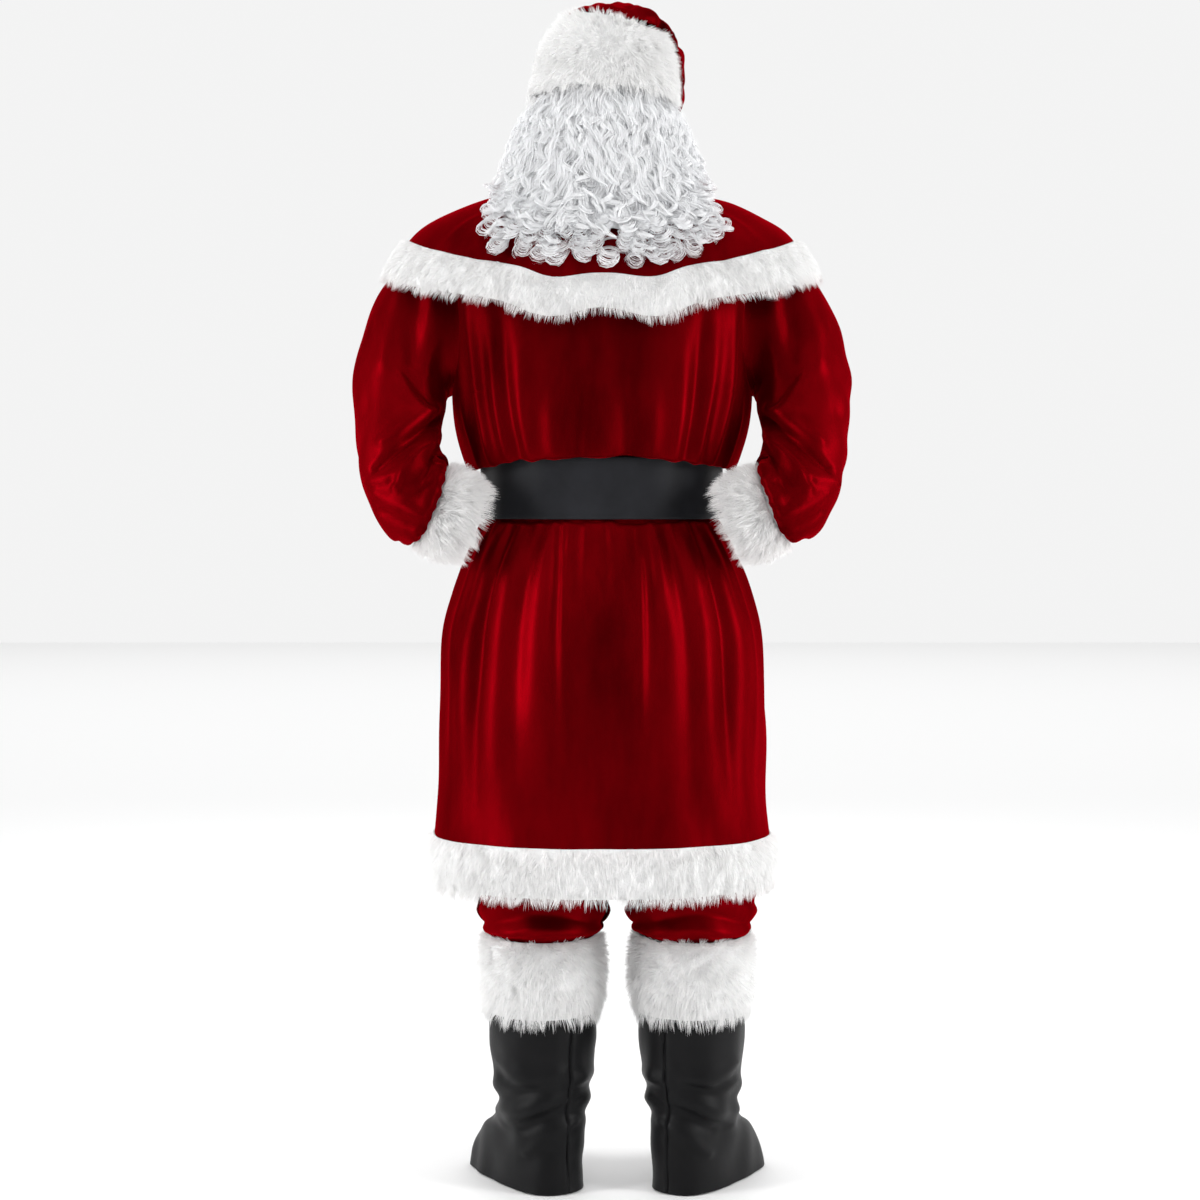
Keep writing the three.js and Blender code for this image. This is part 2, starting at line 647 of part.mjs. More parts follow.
add("belt_strap", beltStrap(), leather());
for (const [name, geometry, clear] of [
  ["buckle_frame", buckleFrame(), 0],
  ["buckle_prong", buckleProng(), BUCKLE.thick + SEAM],
]) {
  const piece = add(name, geometry, brass());
  piece.rotation.x = Math.PI / 2;
  piece.position.set(0, BUCKLE.front, (BELT_RINGS[0][3] + BELT_RINGS[1][3]) / 2);
  if (clear) piece.position.y -= clear + BUCKLE.thick / 2;
}

for (const [sideName, side] of [["left", 1], ["right", -1]]) {
  add(`trouser_back_${sideName}`, trouserPanel(side, 1), velvet());
  add(`trouser_front_${sideName}`, trouserPanel(side, -1), velvet());
}
add("waistband", waistband(), elastic());

const feet = LEG_CENTRES.map((x, k) => {
  const foot = new THREE.Group();
  foot.position.x = x;
  foot.rotation.z = (k === 0 ? 1 : -1) * TOE_OUT * DEG;
  standing.add(foot);
  return foot;
});
addPair("boot_outer", bootHalf(0), vinyl(), ...feet);
addPair("boot_inner", bootHalf(180), vinyl(), ...feet);
addPair("boot_fur", bootFur(), fur(), ...feet);
feet.forEach((foot, k) => {
  const strap = add(`stirrup_${k === 0 ? "left" : "right"}`, stirrup(), elastic(), foot);
  strap.position.set(0, -30, 4);
});

add("hat_band", hatBand(), fur());
add("hat_bag", hatBag(), velvet());
const pompom = add("hat_pompom", new THREE.IcosahedronGeometry(POMPOM.radius, 1), fur());
pompom.position.set(POMPOM.x, POMPOM.y, POMPOM.z);
add("wig", wig(), hairs());

export default suit;
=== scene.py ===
import math

import bpy
import numpy as np
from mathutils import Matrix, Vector


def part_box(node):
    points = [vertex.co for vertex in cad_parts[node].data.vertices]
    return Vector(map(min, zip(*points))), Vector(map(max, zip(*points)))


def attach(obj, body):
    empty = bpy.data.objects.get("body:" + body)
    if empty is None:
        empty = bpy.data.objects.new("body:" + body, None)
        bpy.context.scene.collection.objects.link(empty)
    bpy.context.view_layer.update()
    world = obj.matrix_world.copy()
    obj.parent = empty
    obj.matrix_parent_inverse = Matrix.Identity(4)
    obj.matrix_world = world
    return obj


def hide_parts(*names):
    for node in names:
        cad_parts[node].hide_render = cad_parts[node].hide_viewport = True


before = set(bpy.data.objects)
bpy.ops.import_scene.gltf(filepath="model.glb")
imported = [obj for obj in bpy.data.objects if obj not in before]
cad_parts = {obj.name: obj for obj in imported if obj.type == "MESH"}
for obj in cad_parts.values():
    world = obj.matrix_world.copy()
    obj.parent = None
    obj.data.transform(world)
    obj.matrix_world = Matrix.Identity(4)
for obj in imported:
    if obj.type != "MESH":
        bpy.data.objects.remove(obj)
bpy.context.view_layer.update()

# Shapes are worked out in millimetres above the ground under the boots, the wearer facing -Y and the
# wearer's left being +X, and put into the frame by the belt's upper edge.
BELT_TOP = 1127.0
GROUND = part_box("belt_strap")[1].z * 1000 - BELT_TOP
RANDOM = np.random.default_rng(24)


# The photograph's camera, in metres: how far behind the wearer, its height, and the height it looks at
CAMERA_BACK, CAMERA_HEIGHT, AIM_HEIGHT, LENS = 3.6, 1.06, 0.909, 70.2


def put_facing(name, data, at, towards):
    """A camera or a light in the scene, facing a point."""
    made = bpy.data.objects.new(name, data)
    made.location = at
    made.rotation_euler = (Vector(towards) - Vector(at)).to_track_quat("-Z", "Y").to_euler()
    bpy.context.scene.collection.objects.link(made)
    return made


ground = GROUND * 0.001
camera_data = bpy.data.cameras.new("camera")
camera_data.sensor_width = 36
camera_data.lens = LENS
bpy.context.scene.camera = put_facing(
    "camera", camera_data, (0.003, CAMERA_BACK, ground + CAMERA_HEIGHT), (0.003, 0, ground + AIM_HEIGHT)
)

# Driving sizes

# Oval rings of the coat: half width, depth behind, depth in front, height at the side, at the middle of
# the back, at the middle of the front, and the squareness of the oval.
COAT_RINGS = [
    [76, 62, 66, 1530, 1531, 1494, 2],
    [128, 92, 96, 1519, 1509, 1472, 2.1],
    [184, 118, 118, 1500, 1478, 1442, 2.2],
    [233, 140, 136, 1472, 1436, 1402, 2.25],
    [239, 152, 146, 1396, 1378, 1356, 2.3],
    [235, 160, 152, 1308, 1303, 1298, 2.3],
    [228, 166, 158, 1222, 1222, 1222, 2.3],
    [219, 171, 168, 1168, 1172, 1178, 2.3],
    [202, 167, 168, 1120, 1128, 1150, 2.3],
    [193, 158, 158, 1132, 1137, 1158, 2.2],
    [178, 141, 141, 1129, 1131, 1142, 2.2],
    [177, 140, 140, 1040, 1040, 1040, 2.2],
    [184, 147, 147, 1022, 1022, 1022, 2.2],
    [208, 164, 162, 974, 974, 974, 2.2],
    [227, 179, 176, 922, 922, 922, 2.2],
    [243, 192, 188, 850, 850, 850, 2.25],
    [249, 198, 195, 740, 740, 740, 2.3],
    [253, 202, 200, 630, 630, 630, 2.3],
    [258, 206, 204, 552, 552, 552, 2.3],
    [258, 207, 205, 480, 480, 480, 2.3],
    [257, 206, 204, 466, 466, 466, 2.3],
]
SHOULDER_ROW, ARMPIT_ROW, HEM_FUR_ROW, HEM_ROW = 3, 6, 18, 19
ARMHOLE_ANGLE = 27
SEAM_LAP = 1.4
ARMHOLE_ROWS = [3, 3.25, 3.8, 4.5, 5.2, 5.75, 6]

CAPE_RINGS = [
    [80, 68, 72, 1540, 1541, 1504, 2],
    [132, 100, 104, 1530, 1520, 1484, 2.1],
    [190, 128, 128, 1515, 1488, 1456, 2.2],
    [248, 152, 148, 1489, 1448, 1420, 2.2],
    [296, 170, 162, 1454, 1405, 1384, 2.15],
    [337, 184, 176, 1392, 1350, 1338, 2.1],
    [340, 185, 177, 1384, 1342, 1330, 2.1],
]
CAPE_FUR_ROW, CAPE_HEM_ROW = 4, 5
CAPE_LOBES = [[78, 9, 22], [102, 9, 22], [-66, 12, 12], [-114, 12, 12]]

SLEEVE_STATIONS = [
    [[285, 6, 1450], [237, 4, 1216], 82],
    [[321, 12, 1404], [240, 8, 1208], 80],
    [[349, 22, 1350], [242, 14, 1200], 77],
    [[366, 38, 1298], [243, 24, 1190], 73],
    [[373, 58, 1238], [244, 38, 1178], 69],
    [[371, 80, 1178], [244, 56, 1162], 66],
    [[365, 98, 1124], [243, 76, 1150], 64],
    [[355, 112, 1078], [241, 94, 1140], 62],
    [[337, 124, 1038], [238, 109, 1134], 61],
    [[314, 134, 1008], [235, 123, 1129], 61],
]
CUFF_START = np.array([255.0, 138.0, 1056.0])
CUFF_END = np.array([197.0, 124.0, 1031.0])
CUFF_RADIUS = 51
SLEEVE_FULL = 67
SLEEVE_GATHERS, HAT_GATHERS, GATHERED_RADIUS = 17, 12, 60

BELT_RINGS = [[185, 148, 148, 1127, 1127, 1127, 2.2], [184, 147, 147, 1034, 1034, 1034, 2.2]]
BELT_START, BELT_END, BELT_LAP_RISE, BELT_THICK = -104, 284, 4.5, 3
CLOTH_THICK = 2

TROUSER_ROWS = [
    [160, 122, 90, 70, 122, 1100, 0],
    [166, 126, 90, 80, 126, 1040, 0],
    [188, 142, 94, 94, 142, 940, 0],
    [196, 150, 98, 98, 148, 860, 0.05],
    [194, 146, 102, 98, 138, 790, 0.5],
    [190, 140, 105, 96, 122, 740, 1],
    [180, 130, 108, 93, 108, 640, 1],
    [170, 120, 111, 92, 100, 530, 1],
    [170, 120, 114, 97, 100, 446, 1],
    [170, 120, 115, 95, 98, 406, 1],
    [170, 120, 116, 76, 78, 391, 1],
    [170, 120, 116, 64, 64, 360, 1],
    [170, 120, 116, 60, 60, 215, 1],
]
TROUSER_MIDDLE = -24

LEG_CENTRES = {"left": 92, "right": -140}
TOE_OUT = 35
BOOT_ROWS = [
    [79, 79, 79, 392, 392],
    [80, 80, 80, 320, 320],
    [80, 80, 79, 250, 250],
    [77, 77, 76, 195, 192],
    [71, 73, 73, 152, 150],
    [64, 69, 76, 118, 120],
    [58, 70, 98, 92, 100],
    [55, 71, 132, 62, 76],
    [54, 71, 158, 34, 44],
    [55, 71, 172, 14, 17],
    [56, 72, 177, 2, 2],
]
BOOT_FUR_ROW = 1.64

BAND_RINGS = [
    [106, 112, -2, 1680, 1672],
    [96, 105, -6, 1712, 1704],
    [87, 96, -10, 1752, 1736],
    [69, 80, -20, 1797, 1765],
]
BAG_STATIONS = [
    [[-22, -1, 1788], [68, 0, 14], [0, 76, 0]],
    [[-40, -6, 1797], [56, 0, 16], [0, 70, 0]],
    [[-66, -16, 1799], [36, 0, 17], [0, 62, 0]],
    [[-92, -32, 1789], [17, 0, 19], [0, 52, 0]],
    [[-112, -52, 1764], [11, 0, 12], [0, 44, -2]],
    [[-118, -68, 1728], [9, 0, 4], [0, 36, -6]],
    [[-118, -88, 1692], [8, 0, 1], [0, 27, -8]],
    [[-112, -104, 1658], [7, 0, 0], [0, 15, -8]],
]

WIG_RINGS = [
    [30, 34, 30, 1762, 1762, 1762, 2],
    [64, 72, 60, 1752, 1752, 1752, 2],
    [82, 92, 78, 1722, 1722, 1722, 2],
    [95, 102, 88, 1680, 1680, 1680, 2],
    [101, 107, 91, 1664, 1664, 1664, 2],
    [126, 114, 97, 1638, 1638, 1638, 2],
    [142, 119, 98, 1606, 1606, 1606, 2],
    [158, 130, 98, 1574, 1570, 1574, 2],
]
WIG_CAPE_ROWS, WIG_LOWEST_ROWS = [1.6, 1.95], [1.8, 3.8]
WIG_FROM, WIG_TO, HAIR, WIG_LIFT = -30, 210, 24, 5
WIG_CAP_TOP_ROW, WIG_CAP_SIDE_ROW, WIG_CAP_BACK_ROW = 2.2, 6.9, 8.8


# Curves and surfaces


def mix(a, b, t):
    return a + (b - a) * t


def smooth(t):
    t = np.clip(t, 0, 1)
    return t * t * (3 - 2 * t)


def unit(v):
    return v / np.maximum(np.linalg.norm(v, axis=-1, keepdims=True), 1e-9)


def between(rows, place):
    """The values of a table between two of its rows, on a smooth curve through them all."""
    rows, place = np.asarray(rows, float), np.asarray(place, float)
    first = np.clip(np.floor(place).astype(int), 0, len(rows) - 2)
    f = (place - first)[..., None]
    p, q, r, s = (rows[np.clip(first + k, 0, len(rows) - 1)] for k in (-1, 0, 1, 2))
    bend = (2 * p - 5 * q + 4 * r - s) * f**2
    return 0.5 * (2 * q + (r - p) * f + bend + (3 * q - p - 3 * r + s) * f**3)


def ring_point(ring, angle, swell=0.0):
    """A point of an oval ring. Angle 0 is the wearer's left side, 90 the back's middle, -90 the front's."""
    width, back, front, side_z, back_z, front_z, square = np.moveaxis(ring, -1, 0)
    c, s = np.cos(np.radians(angle)), np.sin(np.radians(angle))
    power = 2 / square
    x = np.sign(c) * (width * np.abs(c) ** power + swell * np.abs(c))
    y = np.sign(s) * (np.where(s > 0, back, front) * np.abs(s) ** power + swell * np.abs(s))
    z = side_z + (np.where(s > 0, back_z, front_z) - side_z) * s * s
    return np.stack([x, y, z], -1)


def degrees_apart(a, b):
    return np.abs((a - b + 540) % 360 - 180)


def bell(distance, half_width):
    return np.exp(-((distance / half_width) ** 2))


def coat_point(angle, place):
    return ring_point(between(COAT_RINGS, place), angle)


def cape_point(angle, place):
    down = (place / CAPE_HEM_ROW) ** 2
    drop = sum(depth * bell(degrees_apart(angle, middle), wide) for middle, wide, depth in CAPE_LOBES)
    point = ring_point(between(CAPE_RINGS, place), angle, drop * down * 0.4)
    point[..., 2] -= drop * down
    return point


def boot_point(angle, place):
    width, heel, toe, heel_z, toe_z = np.moveaxis(between(BOOT_ROWS, place), -1, 0)
    blunt = 0.75 * smooth((place - 5.5) / 2.5) * (np.sin(np.radians(angle)) < 0)
    square = 2.15 + blunt + 0 * width
    return ring_point(np.stack([width, heel, toe, (heel_z + toe_z) / 2, heel_z, toe_z, square], -1), angle)


def armhole_angle(place):
    middle, half = (SHOULDER_ROW + ARMPIT_ROW) / 2, (ARMPIT_ROW - SHOULDER_ROW) / 2
    return ARMHOLE_ANGLE * np.sqrt(np.maximum(0, 1 - ((place - middle) / half) ** 2))


def grid(surface, places, start, end, columns):
    """Points row by row. Each row's angles run from start to end, and where those move from row to row
    only the columns within 60 degrees of them move along."""
    places = np.asarray(places, float)
    start, end = (np.broadcast_to(x, places.shape)[:, None] for x in (start, end))
    plain = np.linspace(start[0, 0], end[0, 0], columns)[None, :]
    way = np.sign(end[0, 0] - start[0, 0])
    reach = min(60, abs(end[0, 0] - start[0, 0]) / 1.2)
    angle = plain + (start - start[0, 0]) * np.clip(1 - way * (plain - start[0, 0]) / reach, 0, 1)
    angle = angle + (end - end[0, 0]) * np.clip(1 - way * (end[0, 0] - plain) / reach, 0, 1)
    return surface(angle, np.broadcast_to(places[:, None], angle.shape)), angle


def normals_of(points, closed=False):
    down = np.gradient(points, axis=0)
    if closed:
        around = np.roll(points, -1, 1) - np.roll(points, 1, 1)
    else:
        around = np.gradient(points, axis=1)
    return unit(np.cross(down, around))


def normal_at(surface, angle, rows):
    """The outward normal of a surface of (angle, row)."""
    down = surface(angle, rows + 0.01) - surface(angle, rows - 0.01)
    around = surface(angle + 0.2, rows) - surface(angle - 0.2, rows)
    return unit(np.cross(down, around))


def push(points, amount, closed=False):
    """The points moved along their normals by so many millimetres each."""
    return points + normals_of(points, closed) * np.asarray(amount)[..., None]


def table(surface, columns, rows):
    """A surface of (across, down), each from 0 to 1, as rows of points."""
    return surface(*np.meshgrid(np.linspace(0, 1, columns), np.linspace(0, 1, rows)))


def loft(rings, places):
    """Rings of points joined smoothly, as rows of points at places along them."""
    rings = np.asarray(rings)
    return between(rings.reshape(len(rings), -1), places).reshape(len(places), *rings.shape[1:])


def look_up(values, across, down):
    i = np.clip(down, 0, 1) * (len(values) - 1)
    j = np.clip(across, 0, 1) * (values.shape[1] - 1)
    i0, j0 = np.minimum(i.astype(int), len(values) - 2), np.minimum(j.astype(int), values.shape[1] - 2)
    fi, fj = (i - i0)[..., None], (j - j0)[..., None]
    top = mix(values[i0, j0], values[i0, j0 + 1], fj)
    low = mix(values[i0 + 1, j0], values[i0 + 1, j0 + 1], fj)
    return mix(top, low, fi)


# Folds


def upright_folds(angle, place, folds, radius=200):
    """Ridges and troughs that run along the cloth: angle and row at one end, the same at the other, half
    width in millimetres, rise, and how far the middle bends sideways in degrees."""
    total = np.zeros(np.shape(angle))
    for from_angle, from_row, to_angle, to_row, wide, rise, bend in folds:
        t = (place - from_row) / (to_row - from_row)
        centre = mix(from_angle, to_angle, t) + bend * 4 * t * (1 - t)
        off = np.radians(degrees_apart(angle, centre)) * radius
        wider = wide * mix(0.75, 1.25, np.clip(t, 0, 1))
        total += rise * smooth(t * 3.5) * smooth((1 - t) * 2.2) * bell(off, wider)
    return total


def gathers(count, span, top, length, wide, rise):
    """Small gathers that fade as they leave the row where the cloth is drawn in."""
    folds = []
    for k in range(count):
        angle = mix(span[0], span[1], (k + 0.5 + RANDOM.uniform(-0.3, 0.3)) / count)
        reach = length * RANDOM.uniform(0.5, 1.25)
        away = mix(0, 3, RANDOM.uniform(-1, 1))
        size = RANDOM.uniform(0.6, 1.2)
        bend = RANDOM.uniform(-1.5, 1.5)
        folds.append([angle, top, angle + away, top + reach, wide * size, rise * size, bend])
    return folds


def mirror_folds(folds, middle):
    """The same folds on the other side of an angle."""
    return [[2 * middle - a, t, 2 * middle - b, e, w, r, -k] for a, t, b, e, w, r, k in folds]


def creases(points, normal, strokes, facing):
    """Creases drawn on the side of the cloth that faces one way. Each is a line of (x, z) points in
    millimetres, its half width and its rise, negative for a trough."""
    seen = smooth(normal @ np.asarray(facing, float) * 2.2)
    x, z = points[..., 0], points[..., 2]
    total = np.zeros(x.shape)
    for line, wide, rise in strokes:
        line = np.asarray(line, float)
        spans = np.linalg.norm(np.diff(line, axis=0), axis=1)
        best, along = np.full(x.shape, 1e9), np.zeros(x.shape)
        for k, span in enumerate(spans):
            step = (line[k + 1] - line[k]) / span
            t = np.clip(((x - line[k, 0]) * step[0] + (z - line[k, 1]) * step[1]), 0, span)
            d = np.hypot(x - line[k, 0] - step[0] * t, z - line[k, 1] - step[1] * t)
            closer = d < best
            best = np.where(closer, d, best)
            along = np.where(closer, (spans[:k].sum() + t) / spans.sum(), along)
        total += rise * bell(best, wide * (0.6 + 0.8 * np.sin(np.pi * np.clip(along, 0.05, 0.95))))
    return total * seen


def unevenness(points, size, seed):
    """Slow unevenness between about -1 and 1, as cloth has where nothing pulls it."""
    random = np.random.default_rng(seed)
    total = np.zeros(points.shape[:-1])
    for _ in range(14):
        way = unit(random.normal(size=3) * np.array([1, 1, 0.55]))
        wave = 2 * np.pi / (size * random.uniform(0.7, 1.6))
        total += np.sin(points @ way * wave + random.uniform(0, 6.3))
    return total / 3.7


def rumple(points, size, rise, seed, closed=False):
    return push(points, rise * unevenness(points, size, seed), closed)


# Meshes


def to_frame(points):
    return (np.asarray(points, float).reshape(-1, 3) + [0, 0, GROUND]) * 0.001


def mesh_object(name, points, faces, material, uvs=None, tone_and_shade=None):
    mesh = bpy.data.meshes.new(name)
    co = to_frame(points).astype(np.float32)
    sizes = np.array([f.shape[1] for f in faces for _ in range(len(f))], np.int32)
    loops = np.concatenate([f.reshape(-1) for f in faces]).astype(np.int32)
    mesh.vertices.add(len(co))
    mesh.vertices.foreach_set("co", co.ravel())
    mesh.loops.add(len(loops))
    mesh.loops.foreach_set("vertex_index", loops)
    mesh.polygons.add(len(sizes))
    starts = np.concatenate([[0], np.cumsum(sizes)[:-1]]).astype(np.int32)
    mesh.polygons.foreach_set("loop_start", starts)
    mesh.polygons.foreach_set("use_smooth", np.ones(len(sizes), bool))
    if uvs is not None:
        layer = mesh.uv_layers.new(name="UVMap")
        layer.data.foreach_set("uv", np.asarray(uvs, np.float32)[loops].ravel())
    if tone_and_shade is not None:
        attribute = mesh.attributes.new("tone_and_shade", "FLOAT", "POINT")
        attribute.data.foreach_set("value", np.asarray(tone_and_shade, np.float32))
    mesh.update(calc_edges=True)
    mesh.validate()
    mesh.materials.append(material)
    made = bpy.data.objects.new(name, mesh)
    bpy.context.scene.collection.objects.link(made)
    return made


def cloth(name, points, thick, material, closed=False, turn=7.0):
    """A sheet of cloth on a grid of points. Its free edges are turned in to show its thickness."""
    normal = normals_of(points, closed)
    if not closed:
        first, last = (points[:, k] - normal[:, k] * thick for k in (0, -1))
        first_turned = first + unit(points[:, 1] - points[:, 0]) * turn
        last_turned = last + unit(points[:, -2] - points[:, -1]) * turn
        points = [first_turned[:, None], first[:, None], points, last[:, None], last_turned[:, None]]
        points = np.concatenate(points, 1)
        normal = np.pad(normal, ((0, 0), (2, 2), (0, 0)), "edge")
    down = unit(points[1] - points[0])
    up = unit(points[-2] - points[-1])
    top = points[0] - normal[0] * thick
    bottom = points[-1] - normal[-1] * thick
    points = np.stack([top + down * turn, top, *points, bottom, bottom + up * turn])
    rows, columns = points.shape[:2]
    index = np.arange(rows * columns).reshape(rows, columns)
    if closed:
        index = np.concatenate([index, index[:, :1]], 1)
    quads = np.stack([index[:-1, :-1], index[1:, :-1], index[1:, 1:], index[:-1, 1:]], -1).reshape(-1, 4)
    lines = points[rows // 2], points[:, columns // 2]
    u, v = (np.cumsum(np.linalg.norm(np.diff(x, axis=0, prepend=x[:1]), axis=1)) for x in lines)
    uv = np.stack(np.meshgrid(u, v), -1).reshape(-1, 2) * 0.001
    return mesh_object(name, points, [quads], material, uvs=uv)


def strands(name, paths, widths, sides, tone_and_shade, material):
    """Flat tapering hairs, each ending in a tip. paths is (hair, point, 3), and widths and sides have one
    value for each point but the last."""
    count, steps = paths.shape[:2]
    side = sides * widths[..., None] / 2
    left, right = paths[:, :-1] - side, paths[:, :-1] + side
    body = np.stack([left, right], 2).reshape(count, -1, 3)
    points = np.concatenate([body, paths[:, -1:]], 1)
    per = points.shape[1]
    base = (np.arange(count) * per)[:, None]
    quads = []
    for k in range(steps - 2):
        quads.append(base + np.array([2 * k, 2 * k + 1, 2 * k + 3, 2 * k + 2]))
    tips = base + np.array([per - 3, per - 2, per - 1])
    faces = ([np.concatenate(quads)] if quads else []) + [tips]
    # Each point's tone holds the hair's own random tone together with the painted shade laid on it.
    tones_and_shades = np.concatenate([np.repeat(tone_and_shade[:, :-1], 2, 1), tone_and_shade[:, -1:]], 1)
    return mesh_object(name, points, faces, material, tone_and_shade=tones_and_shades.ravel())


# Materials


def fill(made, **values):
    """A node with its inputs and settings set. An underscore stands for a space in an input's name."""
    for key, value in values.items():
        entry = key.replace("_", " ")
        if entry in made.inputs:
            made.inputs[entry].default_value = value
        else:
            setattr(made, key, value)
    return made


def node(tree, kind, **values):
    return fill(tree.nodes.new(kind), **values)


def material(name, rough, specular, **values):
    made = bpy.data.materials.new(name)
    made.use_nodes = True
    shader = made.node_tree.nodes["Principled BSDF"]
    return made, made.node_tree, fill(shader, Roughness=rough, Specular_IOR_Level=specular, **values)


def ramp(tree, source, stops):
    made = tree.nodes.new("ShaderNodeValToRGB")
    elements = made.color_ramp.elements
    elements[0].position, elements[0].color = stops[0][0], (*stops[0][1], 1)
    elements[1].position, elements[1].color = stops[-1][0], (*stops[-1][1], 1)
    for position, colour in stops[1:-1]:
        elements.new(position).color = (*colour, 1)
    tree.links.new(source, made.inputs["Fac"])
    return made.outputs["Color"]


def texture(tree, kind, **values):
    """A node that works on the object's own coordinates."""
    made = node(tree, kind, **values)
    where = tree.nodes.new("ShaderNodeTexCoord").outputs["Object"]
    tree.links.new(where, made.inputs["Vector"])
    return made


def bumps(tree, shaders, source, strength, distance):
    made = node(tree, "ShaderNodeBump", Strength=strength, Distance=distance)
    tree.links.new(source, made.inputs["Height"])
    for shader in shaders:
        tree.links.new(made.outputs["Normal"], shader.inputs["Normal"])


def surface_of_two(tree, first, second):
    """The material's surface made of two shadings. The second one's share is returned, to be set."""
    both = tree.nodes.new("ShaderNodeMixShader")
    tree.links.new(first.outputs["BSDF"], both.inputs[1])
    tree.links.new(second.outputs["BSDF"], both.inputs[2])
    tree.links.new(both.outputs["Shader"], tree.nodes["Material Output"].inputs["Surface"])
    return both.inputs["Fac"]


def velvet_material(name, dark, light, pile):
    """Deep pile: dark seen straight on, and lit where the pile turns its side to the light."""
    sheen = {"Sheen_Weight": 0.45, "Sheen_Roughness": 0.4, "Sheen_Tint": (*pile, 1)}
    made, tree, shader = material(name, 0.8, 0.0, **sheen)
    drift = node(tree, "ShaderNodeTexNoise", Scale=7.0, Detail=5.0, Roughness=0.6)
    nap = texture(tree, "ShaderNodeTexNoise", Scale=900.0, Detail=3.0, Roughness=0.7)
    stretched = texture(tree, "ShaderNodeMapping", Scale=(1.0, 1.0, 0.3))
    tree.links.new(stretched.outputs["Vector"], drift.inputs["Vector"])
    blend = node(tree, "ShaderNodeMath", operation="MULTIPLY_ADD")
    tree.links.new(nap.outputs["Fac"], blend.inputs[0])
    blend.inputs[1].default_value = 0.45
    tree.links.new(drift.outputs["Fac"], blend.inputs[2])
    tree.links.new(ramp(tree, blend.outputs[0], [(0.45, dark), (0.95, light)]), shader.inputs["Base Color"])
    gloss = node(tree, "ShaderNodeBsdfAnisotropic", Roughness=0.5, Color=(*pile, 1))
    bumps(tree, (shader, gloss), nap.outputs["Fac"], 0.25, 0.0006)
    share = ramp(tree, drift.outputs["Fac"], [(0.3, (0.04,) * 3), (0.7, (0.17,) * 3)])
    tree.links.new(share, surface_of_two(tree, shader, gloss))
    return made


def fur_material(name, root, tip, glow):
    """Hair that lets some light through, with painted shade darkening it towards its root."""
    made, tree, shader = material(name, 0.55, 0.25)
    tone_and_shade = node(tree, "ShaderNodeAttribute", attribute_name="tone_and_shade")
    colour = ramp(tree, tone_and_shade.outputs["Fac"], [(0.0, root), (1.0, tip)])
    tree.links.new(colour, shader.inputs["Base Color"])
    through = tree.nodes.new("ShaderNodeBsdfTranslucent")
    tree.links.new(colour, through.inputs["Color"])
    surface_of_two(tree, shader, through).default_value = glow
    return made


def backing_material(name, dark, light):
    made, tree, shader = material(name, 0.95, 0.1)
    fuzz = texture(tree, "ShaderNodeTexNoise", Scale=260.0, Detail=5.0, Roughness=0.75)
    tree.links.new(ramp(tree, fuzz.outputs["Fac"], [(0.3, dark), (0.7, light)]), shader.inputs["Base Color"])
    bumps(tree, [shader], fuzz.outputs["Fac"], 0.9, 0.004)
    return made


def leather_material(name, colour, rough, grain):
    made, tree, shader = material(name, rough, 0.12)
    cells = texture(tree, "ShaderNodeTexVoronoi", Scale=grain)
    soft = texture(tree, "ShaderNodeTexNoise", Scale=14.0, Detail=6.0, Roughness=0.6)
    stops = [(at, [share * c for c in colour]) for at, share in ((0.3, 0.75), (0.7, 1.3))]
    tree.links.new(ramp(tree, soft.outputs["Fac"], stops), shader.inputs["Base Color"])
    bumps(tree, [shader], cells.outputs["Distance"], 0.25, 0.0008)
    return made


def plain_material(name, colour, rough, metallic=0.0):
    return material(name, rough, 0.5, Base_Color=(*colour, 1), Metallic=metallic)[0]


CRIMSON_DARK, CRIMSON_LIGHT = (0.012, 0.0, 0.0002), (0.036, 0.0001, 0.0006)
CRIMSON_PILE = (0.85, 0.001, 0.012)
VELVET = velvet_material("crimson velvet", CRIMSON_DARK, CRIMSON_LIGHT, CRIMSON_PILE)
# The first colour of the fur and of the wig hair is the painted shade at the hairs' roots, the second their
# own white at the tips.
FUR = fur_material("fake fur", (0.88, 0.88, 0.88), (0.98, 0.977, 0.973), 0.38)
FUR_BACK = backing_material("fur base", (0.86, 0.86, 0.86), (0.95, 0.95, 0.95))
HAIR_WHITE = fur_material("wig hair", (0.93, 0.935, 0.945), (0.985, 0.987, 0.99), 0.5)
HAIR_BACK = backing_material("wig base", (0.88, 0.885, 0.9), (0.96, 0.963, 0.97))
BELT_LEATHER = leather_material("belt leather", (0.0135, 0.014, 0.0165), 0.4, 1400.0)
BOOT_LEATHER = leather_material("boot leather", (0.0045, 0.0045, 0.005), 0.42, 1100.0)
BRASS = plain_material("buckle brass", (0.62, 0.42, 0.13), 0.3, 1.0)
ELASTIC = plain_material("black elastic", (0.012, 0.012, 0.012), 0.9)


# Pieces


def place(piece, slot, *nodes):
    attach(piece, "root")
    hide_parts(*nodes)
    return piece


def mirror_points(points):
    """The same piece on the wearer's other side, its rows still turning the same way round."""
    return (points * [-1, 1, 1])[:, ::-1]


def rows_through(*stops):
    """Rows from stop to stop: each stop after the first is (row, number of steps to it)."""
    rows = [float(stops[0])]
    for row, count in stops[1:]:
        rows += list(np.linspace(rows[-1], row, count + 1)[1:])
    return np.array(rows)


# Coat

